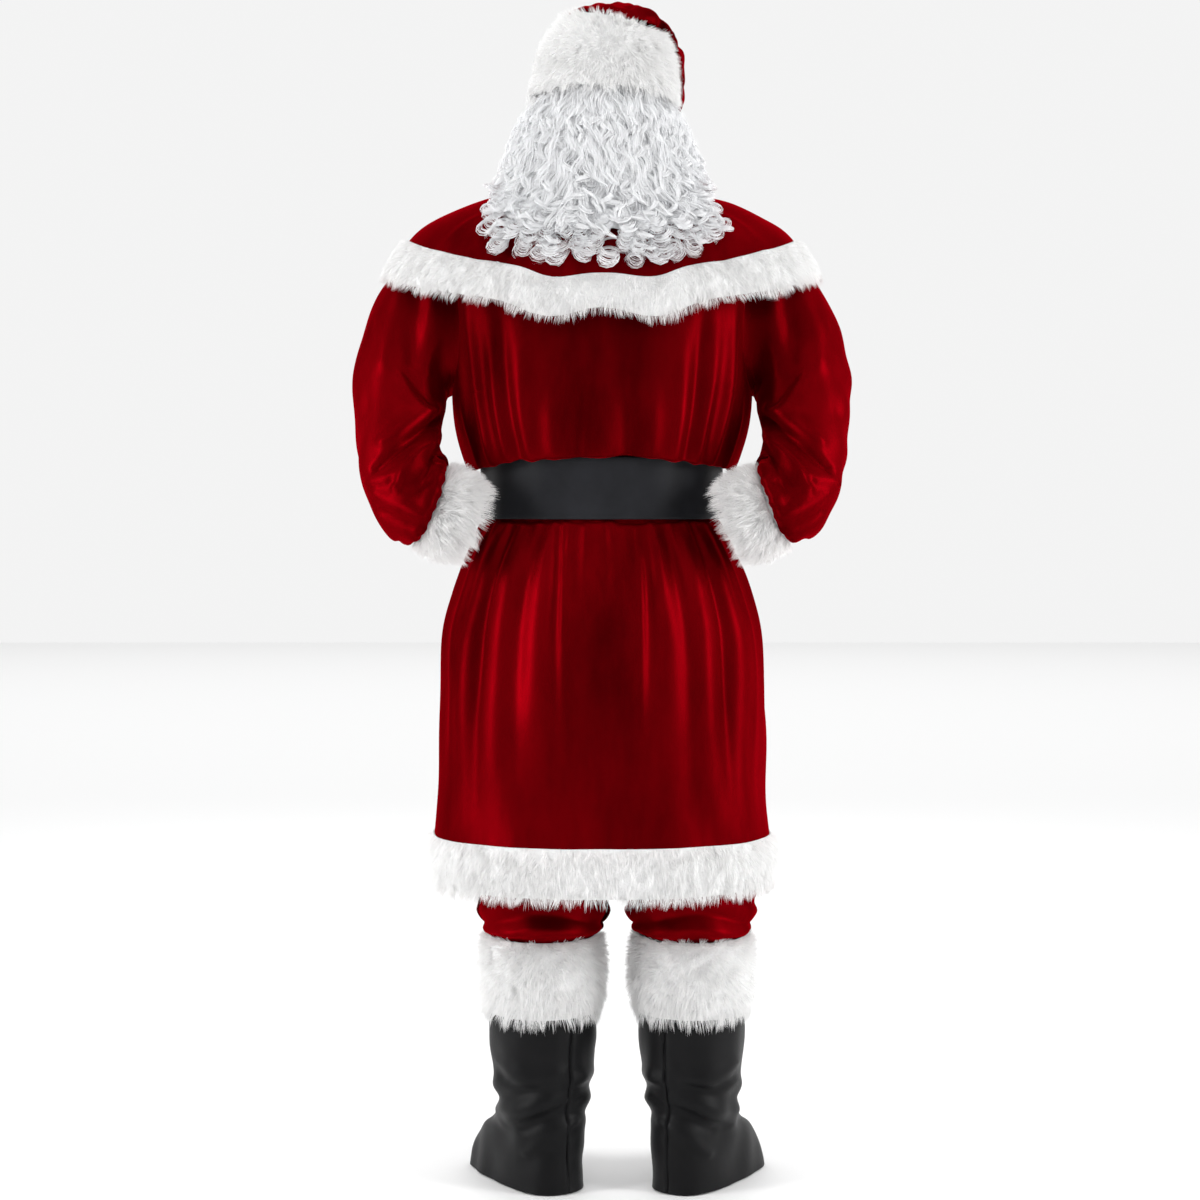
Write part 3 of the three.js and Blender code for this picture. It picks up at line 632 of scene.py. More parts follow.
BODICE_STOPS = [(3, 12), (3.2, 4), (5.8, 28), (6, 6), (7, 10), (8, 12), (9, 6), (10, 3)]
SKIRT_STOPS = [(11, 3), (12, 6), (15, 30), (18, 26), (19, 2)]
COAT_PLACES = rows_through(0, *BODICE_STOPS, *SKIRT_STOPS)
SKIRT_SIDE_FOLDS = [
    [38, 11.2, 36, 18.6, 22, 9, 0],
    [45, 11.4, 44, 18.2, 10, -6, 0],
    [53, 11.2, 53, 18.6, 20, 8, 1],
    [61, 11.3, 62, 18.0, 13, -5, 0],
    [12, 11.8, 11, 17, 12, 5, 0],
]
SKIRT_FOLDS = SKIRT_SIDE_FOLDS + mirror_folds(SKIRT_SIDE_FOLDS, 90)
SKIRT_FOLDS += [
    [68, 11.2, 70, 17.4, 16, 4, 0],
    [73.6, 11.5, 80, 16.6, 4, 5, 0.5],
    [71.2, 11.5, 77, 16.6, 9, -5, 0.5],
    [84, 11.3, 85, 16, 18, 3, 0],
    [90.5, 11.3, 90, 15.6, 9, -4, 0],
    [97, 11.3, 97, 16.2, 14, 4, 0],
    [105, 12.6, 100, 16.6, 4, 4.5, -0.5],
    [108, 12.2, 103.5, 16.6, 9, -4, -0.5],
    [112, 11.2, 111, 17.4, 16, 4, 0],
    [26, 11.4, 27, 18, 14, 6, 0],
    [153, 11.4, 153, 18, 14, 6, 0],
]
SKIRT_FOLDS += mirror_folds(SKIRT_FOLDS, 0)
BLOUSE_FOLDS = [
    [40, 8.7, 35, 3.6, 12, 7, 0],
    [50, 8.6, 46, 4.2, 11, 7, 1],
    [57, 8.7, 54, 3.8, 10, -6, 0],
    [63, 8.6, 63, 4.4, 12, 6, -1],
    [26, 8.6, 24, 5.6, 10, 5, 0],
]
BLOUSE_FOLDS += mirror_folds(BLOUSE_FOLDS, 90)
BLOUSE_FOLDS += [
    [72, 8.7, 75, 5.2, 12, 4, 0],
    [108, 8.6, 105, 5.2, 12, 4, 0],
    [82, 8.6, 84, 4.6, 10, -5, 0],
    [90, 8.6, 90, 5.0, 11, 4, 0],
    [98, 8.7, 96, 4.8, 10, -5, 0],
]
BLOUSE_FOLDS += mirror_folds(BLOUSE_FOLDS, 0)
BACK, FRONT = (2, 178), (-178, -2)
BELOW_BELT, ABOVE_BELT = 11.1, 9.9
GATHERS = [fold for face in (BACK, FRONT) for fold in gathers(20, face, BELOW_BELT, 3.2, 8, 3.4)]
DRAWN_IN = [
    [a, ABOVE_BELT, b, ABOVE_BELT - (e - t), w, r, k]
    for face in (BACK, FRONT)
    for a, t, b, e, w, r, k in gathers(13, face, 0, 2.4, 13, 2.2)
]


def seam_angle(rings, places, gap):
    """The angle of half a seam: its gap, or how far the panels lap where it is negative."""
    return np.degrees(gap / between(rings, places)[:, 0])


def coat_edge(places):
    inside = (places > SHOULDER_ROW) & (places < ARMPIT_ROW)
    return np.where(inside, armhole_angle(places), seam_angle(COAT_RINGS, places, -SEAM_LAP))


def coat_draped(angle, rows):
    """The coat with all its folds."""
    base = coat_point(angle, rows)
    slack = 13 * bell(rows - 8, 1.1) * np.cos(np.radians(angle)) ** 2
    base = base - np.stack([0 * slack, 0 * slack, slack], -1)
    tucked = smooth((rows - 9.4) * 3) * smooth((11.25 - rows) * 4)
    rise = upright_folds(angle, rows, SKIRT_FOLDS + BLOUSE_FOLDS + GATHERS + DRAWN_IN) * (1 - 0.85 * tucked)
    rise += 2.2 * unevenness(base, 95, 1) * (1 - 0.8 * tucked)
    return base + normal_at(coat_point, angle, rows) * rise[..., None]


def panel(name, draped, places, radius, dip, start, end, columns):
    """A panel of the coat or cape, dipping a little along its seams."""
    points, angle = grid(draped, places, start, end, columns)
    near = [bell(np.radians(off) * radius, 4) for off in (angle - start[:, None], end[:, None] - angle)]
    return place(cloth(f"{name}_cloth", push(points, -dip * sum(near)), CLOTH_THICK, VELVET), "velvet", name)


COAT_FRONT_START = -90 + seam_angle(COAT_RINGS, COAT_PLACES, 0.25)
COAT_EDGE = coat_edge(COAT_PLACES)
COAT = [
    panel(name, coat_draped, COAT_PLACES, 230, 1.6, start, end, columns)
    for name, start, end, columns in (
        ("coat_back", COAT_EDGE, 180 - COAT_EDGE, 180),
        ("coat_front_left", COAT_FRONT_START, -COAT_EDGE, 56),
        ("coat_front_right", -180 + COAT_EDGE, -180 - COAT_FRONT_START, 56),
    )
]


# Sleeves and cuffs


def oval_ring(middle, reach, quarter, turns):
    angle = np.asarray(turns) * 2 * np.pi
    return middle + np.cos(angle)[:, None] * reach + np.sin(angle)[:, None] * quarter


def cuff_axes():
    """The cuff's start, its direction, and its radius to the outer and to the quarter turn."""
    direction = unit(CUFF_END - CUFF_START)
    reach = np.array(SLEEVE_STATIONS[-1][0], float) - SLEEVE_STATIONS[-1][1]
    reach = unit(reach - direction * (reach @ direction))
    return CUFF_START, direction, reach, np.cross(direction, reach)


def cuff_ring(along, radius, turns):
    start, direction, reach, quarter = cuff_axes()
    return oval_ring(start + direction * along, reach * radius, quarter * radius, turns)


def sleeve_rings(turns):
    steps = np.abs(np.where(turns > 0.5, 1 - turns, turns)) * 2 * (len(ARMHOLE_ROWS) - 1)
    rows = np.interp(steps, range(len(ARMHOLE_ROWS)), ARMHOLE_ROWS)
    side = np.where(turns > 0.5, 1, -1)
    edge = side * np.maximum(armhole_angle(rows) + 1.4, 1.4)
    rings = [coat_draped(edge, rows) - normal_at(coat_point, edge, rows) * 4]
    rings += [coat_draped(side * armhole_angle(rows), rows) + [3.5, 0, 0]]
    middles = [(np.array(o, float) + i) / 2 for o, i, _ in SLEEVE_STATIONS] + [CUFF_START]
    for k, (outer, inner, across) in enumerate(SLEEVE_STATIONS):
        direction = middles[k + 1] - middles[max(k - 1, 0)]
        reach = (np.array(outer, float) - inner) / 2
        rings.append(oval_ring(middles[k], reach, unit(np.cross(direction, reach)) * across, turns))
    last_rings = (-20, SLEEVE_FULL), (-7, SLEEVE_FULL), (0, CUFF_RADIUS)
    rings += [cuff_ring(along, radius, turns) for along, radius in last_rings]
    return np.stack(rings)


SLEEVE_BACK = [
    [[(241, 1186), (285, 1150), (334, 1108)], 6, -11],
    [[(250, 1200), (288, 1176), (322, 1148)], 12, 8],
    [[(291, 1253), (272, 1226), (256, 1203)], 6, -5],
    [[(300, 1246), (282, 1215), (262, 1192)], 8, 4],
    [[(243, 1165), (272, 1120), (300, 1078)], 8, 9],
    [[(240, 1150), (262, 1104), (276, 1060)], 5, -8],
    [[(252, 1140), (300, 1096), (345, 1088)], 8, 5],
    [[(262, 1040), (292, 1052), (330, 1072)], 9, 5],
    [[(266, 1020), (296, 1030), (322, 1046)], 6, -5],
    [[(250, 1090), (276, 1084), (306, 1090)], 6, -4],
    [[(300, 1400), (318, 1340), (326, 1270)], 16, 5],
    [[(272, 1390), (282, 1330), (284, 1268)], 10, -4],
    [[(255, 1370), (262, 1310), (262, 1250)], 9, 4],
    [[(346, 1330), (356, 1260), (352, 1190)], 10, -3],
]
SLEEVE_FRONT = [
    [[(245, 1190), (290, 1160), (340, 1130)], 9, -7],
    [[(250, 1215), (300, 1190), (350, 1170)], 12, 6],
    [[(245, 1160), (280, 1110), (320, 1070)], 9, 6],
    [[(300, 1400), (320, 1330), (330, 1250)], 16, 5],
    [[(262, 1370), (270, 1300), (268, 1240)], 9, 4],
    [[(262, 1040), (292, 1052), (330, 1072)], 9, 5],
]


def off_gather(turns, k, count):
    """Millimetres round a gathered edge from one of its gathers."""
    at = (k + RANDOM.uniform(-0.2, 0.2)) / count
    return np.abs((turns - at + 0.5) % 1 - 0.5) * 2 * math.pi * GATHERED_RADIUS


def sleeve(side, seed):
    columns = 76
    turns = np.arange(columns) / columns
    rings = sleeve_rings(turns)
    places = rows_through(0, (1, 4), (2, 10), (11, 78), (12, 6), (13, 5), (14, 6))
    points = loft(rings, places)[:, ::-1]
    drawn = np.zeros((len(places), columns))
    for k in range(SLEEVE_GATHERS):
        off = off_gather(turns, k, SLEEVE_GATHERS)
        reach = RANDOM.uniform(1.2, 3.4)
        fade = smooth((places - 14 + reach) / reach * 1.4) * smooth((14 - places) * 1.5 + 0.3)
        drawn += RANDOM.uniform(2.5, 5) * bell(off, 6)[None, :] * fade[:, None]
    head = 3.5 * bell(places - 2.1, 0.8)[:, None] * np.sin(turns * 2 * np.pi * 9)[None, :] * 0.4
    points = push(points, drawn + head, True)
    normal = normals_of(points, True)
    rise = creases(points, normal, SLEEVE_BACK, (0, 1, 0)) + creases(points, normal, SLEEVE_FRONT, (0, -1, 0))
    points = points + normal * (rise + 2.2 * unevenness(points, 70, seed))[..., None]
    if side == "right":
        points = mirror_points(points)
    name = f"sleeve_{side}"
    return place(cloth(f"{name}_cloth", points, CLOTH_THICK, VELVET, closed=True), "velvet", name)


SLEEVES = [sleeve("left", 11), sleeve("right", 12)]

# Cape

CAPE_PLACES = rows_through(0, (2, 12), (4, 20), (5, 12))
CAPE_FOLDS = [
    [38, 2.2, 40, 5, 16, 4, 0],
    [52, 2.6, 55, 5, 12, -4, 0],
    [66, 2.8, 72, 5, 16, 6, 0],
    [90, 2.6, 90, 5, 18, -5, 0],
    [114, 2.8, 108, 5, 16, 6, 0],
    [127, 2.6, 124, 5, 12, -4, 0],
    [142, 2.2, 140, 5, 16, 4, 0],
]
CAPE_FOLDS += mirror_folds(CAPE_FOLDS, 0)


def cape_draped(angle, rows):
    """The cape with all its folds."""
    base = cape_point(angle, rows)
    shoulder = sum(bell(degrees_apart(angle, side), 26) for side in (0, 180)) * (rows / CAPE_HEM_ROW) ** 3
    base = base + np.stack([-11 * np.sign(base[..., 0]) * shoulder, 0 * shoulder, 15 * shoulder], -1)
    rise = upright_folds(angle, rows, CAPE_FOLDS, 240) + 1.8 * unevenness(base, 110, 21)
    return base + normal_at(cape_point, angle, rows) * rise[..., None]


CAPE_SEAM = seam_angle(CAPE_RINGS, CAPE_PLACES, -SEAM_LAP)
CAPE_OPENING = seam_angle(CAPE_RINGS, CAPE_PLACES, 0.3)
CAPES = [
    panel(name, cape_draped, CAPE_PLACES, 250, 2.0, start, end, columns)
    for name, start, end, columns in (
        ("cape_back", CAPE_SEAM, 180 - CAPE_SEAM, 120),
        ("cape_front_left", -90 + CAPE_OPENING, -CAPE_SEAM, 50),
        ("cape_front_right", -180 + CAPE_SEAM, -90 - CAPE_OPENING, 50),
    )
]


# Fur

# Rows in a fur's own cloth, hairs in a tuft, and a hair's width
FUR_ROWS, TUFT, HAIR_WIDTH = 14, 7, 0.75


def fur(name, surface, count, length, lean, rise, seed, columns=200, clump=0.35, push_down=0.22):
    """A strip of fur on a closed band of (across, down): its own cloth, standing a little off what it is
    sewn to, and its pile. lean is the angle at its two edges from standing straight out to lying down."""
    points = table(surface, columns + 1, FUR_ROWS)
    out, below = normals_of(points), unit(np.gradient(points, axis=0))
    hump = np.sin(np.pi * mix(0.06, 0.94, np.linspace(0, 1, FUR_ROWS)))[:, None] * np.ones(columns + 1)
    sheet = points + out * (1.0 + rise * hump)[..., None]
    sheet_piece = cloth(f"{name}_cloth", sheet[:, :-1], CLOTH_THICK, FUR_BACK, closed=True, turn=3)
    place(sheet_piece, "fur", name)

    random = np.random.default_rng(seed)
    round_it = np.linalg.norm(np.diff(points[FUR_ROWS // 2], axis=0), axis=1).sum()
    height = np.linalg.norm(np.diff(points[:, 0], axis=0), axis=1).sum()
    tufts = count // TUFT
    across, down = random.uniform(0, 1, tufts), random.uniform(0, 1, tufts)
    owner = np.repeat(np.arange(tufts), TUFT)
    n = len(owner)
    u = (across[owner] + random.normal(0, 3.0, n) / round_it) % 1
    v = np.clip(down[owner] + random.normal(0, 3.0, n) / height, 0, 1)

    def pile(u, v, stray):
        here, o, b = look_up(sheet, u, v), unit(look_up(out, u, v)), unit(look_up(below, u, v))
        drift = 10 * unevenness(here, 60, seed + 1) + 7 * unevenness(here, 22, seed + 2)
        angle = np.radians(mix(lean[0], lean[1], v**0.8) + drift)
        across_way = np.cross(o, b) * (0.22 * unevenness(here, 34, seed + 3))[:, None]
        way = o * np.cos(angle)[:, None] + b * np.sin(angle)[:, None] + across_way
        return here - o * 1.2, o, unit(way + random.normal(0, stray, way.shape))

    long = length * random.uniform(0.7, 1.15, tufts)
    start, _, way = pile(across, down, 0.10)
    root, o, own = pile(u, v, 0.16)
    reach = (long[owner] * random.uniform(0.75, 1.1, n))[:, None]
    sag = np.array([0, 0, -push_down])
    aim = (start + (way + sag) * long[:, None])[owner]
    end = mix(root + (own + sag) * reach, aim, clump * random.uniform(0.5, 1.4, n)[:, None])
    bend = mix(root, end, 0.5) + o * reach * 0.1
    paths = np.stack([root, bend, end], 1)
    side = unit(np.cross(end - root, random.normal(size=(n, 3))))
    widths = np.tile([HAIR_WIDTH, HAIR_WIDTH * 0.85], (n, 1))
    shade = (random.uniform(0.62, 1.0, tufts)[owner] + random.uniform(-0.12, 0.12, n)).clip(0, 1)
    # Painted shade: each hair is darker towards its root, deep in the pile; each tuft's tone also differs at
    # random.
    tone_and_shade = np.stack([shade * 0.35, shade * 0.8, shade], 1)
    hairs = strands(f"{name}_pile", paths, widths, np.repeat(side[:, None], 2, 1), tone_and_shade, FUR)
    return sheet_piece, place(hairs, "fur", name)


def strip(surface, top, bottom, start=-90, end=270):
    """A band of a surface of (angle, row) as a surface of (across, down) in 0 to 1."""
    return lambda across, down: surface(mix(start, end, across), mix(top, bottom, down))


HEM_FUR = fur("hem_fur", strip(coat_draped, HEM_FUR_ROW - 0.02, HEM_ROW), 32000, 16, (30, 84), 5, 31, 240)
CAPE_FUR = fur("cape_fur", strip(cape_draped, CAPE_FUR_ROW + 0.1, 5.05), 32000, 15, (25, 80), 5, 32, 240)


def cuff_surface(across, down):
    start, direction, reach, quarter = cuff_axes()
    length = float(np.linalg.norm(CUFF_END - CUFF_START))
    turn = -across * 2 * np.pi
    centre = start + direction * mix(2, 2 + length, down)[..., None]
    return centre + (np.cos(turn)[..., None] * reach + np.sin(turn)[..., None] * quarter) * CUFF_RADIUS


def mirrored(surface):
    """The same band on the wearer's other side, turned so that it still faces out."""
    return lambda across, down: surface(1 - across, down) * [-1, 1, 1]


CUFF_FURS = []
for side, band in (("left", cuff_surface), ("right", mirrored(cuff_surface))):
    CUFF_FURS += [
        fur(f"cuff_fur_{side}", band, 13000, 22, (5, 70), 9, 33, 80, clump=0.45, push_down=0.06)
    ]


def on_foot(points, side):
    """Points of the left boot about its own axis, put under the left leg or mirrored under the right one."""
    turn = math.radians(TOE_OUT)
    x, y, z = np.moveaxis(np.asarray(points, float), -1, 0)
    out, along = x * math.cos(turn) - y * math.sin(turn), x * math.sin(turn) + y * math.cos(turn)
    return np.stack([LEG_CENTRES[side] + (out if side == "left" else -out), along, z], -1)


BOOT_FURS = []
for side in ("left", "right"):
    top = strip(boot_point, 0.0, BOOT_FUR_ROW)
    turned = 0 if side == "left" else 1
    band = lambda across, down: on_foot(top(abs(turned - across), down), side)
    BOOT_FURS += [fur(f"boot_fur_{side}", band, 14500, 20, (-38, 74), 7, 35 + turned, 90)]

# Hat


def band_point(angle, rows):
    width, depth, middle, left_z, right_z = np.moveaxis(between(BAND_RINGS, rows), -1, 0)
    c = np.cos(np.radians(angle))
    x = middle + width * c
    z = (left_z + right_z) / 2 + (left_z - right_z) / 2 * c
    return np.stack([x, depth * np.sin(np.radians(angle)), z], -1)


HAT_FUR = fur("hat_band", strip(band_point, 3, 0), 21000, 18, (-20, 60), 6, 37, 110)


def hat_bag():
    columns = 90
    turns = np.arange(columns) / columns
    rings = [oval_ring(*(np.array(part, float) for part in station), turns) for station in BAG_STATIONS]
    edge = band_point(turns * 360, np.full(columns, 3.0)) + [0, 0, 6]
    rings = np.stack([*rings[::-1], edge])
    places = np.linspace(0, len(rings) - 1, 86)
    points = loft(rings, places)
    drawn = np.zeros((len(places), columns))
    for k in range(HAT_GATHERS):
        off = off_gather(turns, k, HAT_GATHERS)
        drawn += RANDOM.uniform(1.0, 3.0) * bell(off, 7)[None, :] * smooth((places - 4.5) / 3)[:, None]
    points = rumple(push(points, drawn, True), 42, 3.0, 41, True)
    points = rumple(points, 20, 1.2, 42, True)
    return place(cloth("hat_bag_cloth", points, CLOTH_THICK, VELVET, closed=True), "velvet", "hat_bag")


HAT_BAG = hat_bag()


def pompom():
    """A ball of pile, its hairs rooted a little way out from its middle."""
    low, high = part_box("hat_pompom")
    centre = np.array((low + high) / 2) * 1000 - [0, 0, GROUND]
    radius = (high.x - low.x) * 500
    random = np.random.default_rng(38)
    count = 5600
    way = unit(random.normal(size=(count, 3)))
    reach = radius * random.uniform(0.85, 1.12, count)[:, None]
    tip = centre + unit(way + random.normal(0, 0.12, way.shape)) * reach + [0, 0, -2]
    root = centre + way * radius * 0.35
    paths = np.stack([root, mix(root, tip, 0.5), tip], 1)
    side = np.repeat(unit(np.cross(way, random.normal(size=way.shape)))[:, None], 2, 1)
    shade = random.uniform(0.6, 1.0, count)
    # Painted shade: each hair is darker towards its root, deep in the ball; each hair's tone also differs at
    # random.
    tone_and_shade = np.stack([shade * 0.6, shade * 0.9, shade], 1)
    widths = np.tile([1.6, 1.5], (count, 1))
    return place(strands("hat_pompom_pile", paths, widths, side, tone_and_shade, FUR), "fur", "hat_pompom")


pompom()

# Belt


def belt():
    angle = np.linspace(BELT_START, BELT_END, 260)
    rows = np.array([0, 0.02, 0.06, 0.1, 0.3, 0.5, 0.7, 0.9, 0.94, 0.98, 1.0])
    a, r = np.meshgrid(angle, rows)
    rise = BELT_LAP_RISE * smooth((a - 225) / 25)
    points = ring_point(between(BELT_RINGS, r), a, rise)
    edge = sum(bell(r - at, 0.04) for at in (0.06, 0.94)) - sum(0.8 * bell(r - at, 0.02) for at in (0, 1))
    slack = 1.2 * np.sin(np.radians(a) * 7 + 1) * np.sin(np.pi * r) + 0.8 * np.sin(np.radians(a) * 13)
    points = push(points, edge + slack)
    return place(cloth("belt_strap_leather", points, BELT_THICK, BELT_LEATHER, turn=6), "belt", "belt_strap")


BELT = belt()


# Trousers


def trouser_point(side, face, across, rows):
    sizes = np.moveaxis(between(TROUSER_ROWS, rows), -1, 0)
    width, depth, apart, leg_width, leg_depth, height, forked = sizes
    middle = TROUSER_MIDDLE * smooth((1000 - height) / 500)
    turn = np.radians(across * 90)
    split = smooth(forked)
    x = mix(width * np.cos(turn), apart + leg_width * np.cos(2 * turn), split)
    y = mix(depth * np.sin(turn), leg_depth * np.sin(2 * turn), split)
    return np.stack([middle + side * (x + 0.3), face * (y + 0.3), height], -1)


# Height, half width and rise of the folds where the legs go into the boots
KNEE_FOLDS = [[462, 9, 5], [440, 8, -6], [415, 9, 7], [492, 12, 5]]


def trouser_panel(name, side, face, seed):
    places = rows_through(1, (7, 20), (10, 36), (12, 8))
    across, rows = np.meshgrid(np.linspace(-0.006, 1.006, 30), places)
    points = trouser_point(side, face, across, rows)
    if side * face < 0:
        points = points[:, ::-1]
    height = points[..., 2]
    middle = (points[:, :1, 0] + points[:, -1:, 0]) / 2
    off = (points[..., 0] - middle) / 80
    sag = height + 22 * off**2
    amount = sum(rise * bell(sag - at, wide) for at, wide, rise in KNEE_FOLDS)
    low = smooth((560 - height) / 90) * smooth((height - 396) / 14)
    points = rumple(push(points, amount * low), 60, 2.5, seed)
    return place(cloth(f"{name}_cloth", points, CLOTH_THICK, VELVET), "velvet", name)


TROUSERS = [
    trouser_panel(f"trouser_{face_name}_{side_name}", side, face, 50 + side + 2 * face)
    for side_name, side in (("left", 1), ("right", -1))
    for face_name, face in (("front", -1), ("back", 1))
]

# Boot covers

# Height, half width and rise of the folds round the ankle
ANKLE_FOLDS = [[168, 11, 3.2], [146, 9, -3], [126, 9, 3], [104, 8, -2.6]]
ANKLE_CREASES = [
    [[(-64, 176), (-14, 158), (34, 126), (60, 98)], 13, 5],
    [[(-62, 146), (-16, 128), (28, 98)], 9, -4.5],
    [[(66, 200), (20, 184), (-34, 194)], 10, 4],
    [[(62, 176), (24, 164), (-8, 172)], 7, -3.5],
    [[(-50, 110), (-10, 92), (24, 62)], 9, 3.5],
]


def boot_half(name, side, middle, seed):
    places = rows_through(0, (3, 18), (6, 26), (9, 26), (10, 5))
    seam = seam_angle(BOOT_ROWS, places, -0.8)
    points, angle = grid(boot_point, places, middle - 90 + seam, middle + 90 - seam, 40)
    height = points[..., 2]
    heel = np.sin(np.radians(angle))
    slump = height - 18 * heel
    amount = sum(rise * bell(slump - at, wide) for at, wide, rise in ANKLE_FOLDS)
    amount = amount * smooth((200 - height) / 30) * smooth((height - 40) / 40)
    edge = np.minimum(np.radians(angle - middle + 90), np.radians(middle + 90 - angle)) * 74
    amount = amount - 0.5 * bell(edge, 1.6) + 0.7 * bell(edge - 5, 3)
    points = rumple(push(points, amount), 55, 1.6, seed)
    points = on_foot(points, "left") - [LEG_CENTRES["left"], 0, 0]
    points = push(points, creases(points, normals_of(points), ANKLE_CREASES, (0, 1, 0)))
    points[..., 2] = np.maximum(points[..., 2], 1.5)
    points = points * [1 if side == "left" else -1, 1, 1] + [LEG_CENTRES[side], 0, 0]
    if side == "right":
        points = points[:, ::-1]
    return place(cloth(f"{name}_leather", points, CLOTH_THICK, BOOT_LEATHER), "boot", name)


BOOTS = [
    boot_half(f"boot_{half}_{side}", side, middle, 60 + k)
    for k, (side, half, middle) in enumerate(
        (("left", "outer", 0), ("left", "inner", 180), ("right", "outer", 0), ("right", "inner", 180))
    )
]

# Wig


def wig_table():
    """The hair's outer surface: rows down from the crown and columns round it, one each degree."""
    angle = np.arange(WIG_FROM, WIG_TO + 1.0)
    over = [ring_point(np.tile(np.array(ring, float), (len(angle), 1)), angle) for ring in WIG_RINGS]
    behind = smooth((np.sin(np.radians(angle)) - 0.5) / 0.38)
    first, last = (mix(side, back, behind) for side, back in (WIG_CAPE_ROWS, WIG_LOWEST_ROWS))
    rows = mix(first[None, :], last[None, :], np.array([0, 0.5, 1])[:, None])
    around = np.broadcast_to(angle, rows.shape)
    lying = cape_point(around, rows) + normal_at(cape_point, around, rows) * (HAIR + WIG_LIFT)
    rings = np.concatenate([np.stack(over), lying])
    return loft(rings, np.linspace(0, len(rings) - 1, 201))


WIG = wig_table()
WIG_NORMAL = normals_of(WIG)
WIG_ROWS = len(WIG_RINGS) + 2


def on_wig(values, angle, rows):
    return look_up(values, (angle - WIG_FROM) / (WIG_TO - WIG_FROM), rows / WIG_ROWS)


def wig_cap():
    angle = np.linspace(WIG_FROM, WIG_TO, 81)[None, :]
    lowest = mix(WIG_CAP_SIDE_ROW, WIG_CAP_BACK_ROW, smooth((np.sin(np.radians(angle)) - 0.3) / 0.4))
    rows = mix(WIG_CAP_TOP_ROW, lowest, np.linspace(0, 1, 64)[:, None])
    angle = np.broadcast_to(angle, rows.shape)
    inset = (12 + 8 * smooth((rows - 6.8) / 1.6))[..., None]
    points = on_wig(WIG, angle, rows) - on_wig(WIG_NORMAL, angle, rows) * inset
    return place(cloth("wig_cap", rumple(points, 30, 2.0, 71), CLOTH_THICK, HAIR_BACK, turn=3), "hair", "wig")


WIG_CAP = wig_cap()


# Points along a lock from which its strands' own points are picked
FINE_STEPS = 600


def hair_locks(name, locks, per, steps, seed, width):
    """Locks that hang down the wig, waving, and curl into ringlets. Each lock is its angle, first row, last
    row, the radius and turn length of its curl, the share of its length that curls, its depth under the
    hair's surface, and how far its curls tip up to face outwards."""
    random = np.random.default_rng(seed)
    paths, sides, widths, tones_and_shades = [], [], [], []
    fine = np.linspace(0, 1, FINE_STEPS)
    for angle, first, last, radius, pitch, curled, depth, tip_up in locks:
        sway = random.uniform(0.6, 1.6) * np.sin(fine * random.uniform(5, 9) + random.uniform(0, 6.3))
        a = angle + random.uniform(-3, 3) * fine**2 + sway
        rows = mix(first, last, 1 - (1 - fine) ** (1.8 if tip_up else 1))
        axis, out = on_wig(WIG, a, rows), unit(on_wig(WIG_NORMAL, a, rows))
        along = np.gradient(axis, axis=0)
        length = np.linalg.norm(along, axis=1)
        down = unit(along)
        right = unit(np.cross(out, down))
        far = np.cumsum(length)
        curl = smooth((far - far[-1] * (1 - curled)) / (0.35 * curled * far[-1]))[:, None]
        tipped = np.radians(tip_up) * smooth((far / far[-1] - 0.45) / 0.4)[:, None]
        second = unit(out * np.cos(tipped) + down * np.sin(tipped))
        coil = unit(np.cross(right, second))
        reach = mix(random.uniform(2.5, 5), radius, curl)
        reach = reach * mix(1, random.uniform(0.75, 1), fine[:, None] ** 4)
        spin = random.choice([-1, 1])
        phase = np.cumsum(length / mix(random.uniform(36, 60), pitch, curl[:, 0])) * 2 * np.pi
        phase += 2.8 * np.pi * smooth((fine - 0.6) / 0.4) * (tip_up > 0)
        phase = (phase * spin + random.uniform(0, 6.3))[:, None]
        travelled = np.cumsum(np.hypot(length, reach[:, 0] * np.gradient(phase[:, 0])))
        i = np.interp(np.linspace(0, travelled[-1], steps + 1), travelled, np.arange(FINE_STEPS)).astype(int)
        strand_tone = random.uniform(0.6, 1.0)
        for k in range(per):
            lie = (k + 0.5) / per - 0.5
            lag = random.normal(0, 0.09)
            radial = right * np.cos(phase + lag) + second * np.sin(phase + lag)
            stray = random.normal(0, 0.7, 3)
            facing = np.sin(tipped)
            coiled = coil * lie * 9.5 * (1 - 0.75 * facing) + radial * lie * 7.5 * facing
            spread = mix(right * lie * 15 + out * random.normal(0, 2.2), coiled, curl) + stray
            inset = -depth - reach * 0.9
            path = axis + radial * reach * random.uniform(0.9, 1.08) + out * inset + spread
            path, face = path[i], mix(out, radial, curl)[i]
            flat = unit(np.cross(np.gradient(path, axis=0), face + random.normal(0, 0.3, 3)))
            paths.append(path)
            sides.append(flat[:-1])
            taper = smooth((1 - np.linspace(0, 1, steps + 1)[:-1]) * 12) * 0.7 + 0.3
            widths.append(width * random.uniform(0.75, 1.2) * taper)
            # Painted shade: strands at a lock's edges are darker, and in the curls the strands turned away
            # from the wig's outside are darker; each lock's tone also differs at random.
            shade = strand_tone * random.uniform(0.75, 1.1) * (1 - 0.35 * abs(lie) * 2)
            outward = 0.6 + 0.4 * np.clip(np.sum(radial * out, -1)[i], -1, 1) * curl[i, 0]
            tones_and_shades.append(np.clip(shade * outward, 0, 1))
    parts = [np.stack(part) for part in (paths, widths, sides, tones_and_shades)]
    return place(strands(name, *parts, HAIR_WHITE), "hair", "wig")


# Last row, number of ringlets, half the angle they spread over, and depth, from the lowest layer up
RINGLET_LAYERS = [
    [9.98, 15, 42, 8],
    [9.6, 17, 50, 5],
    [9.15, 19, 60, 2],
    [8.6, 20, 72, 0],
    [8.0, 20, 84, -1],
    [7.3, 18, 96, -1],
]


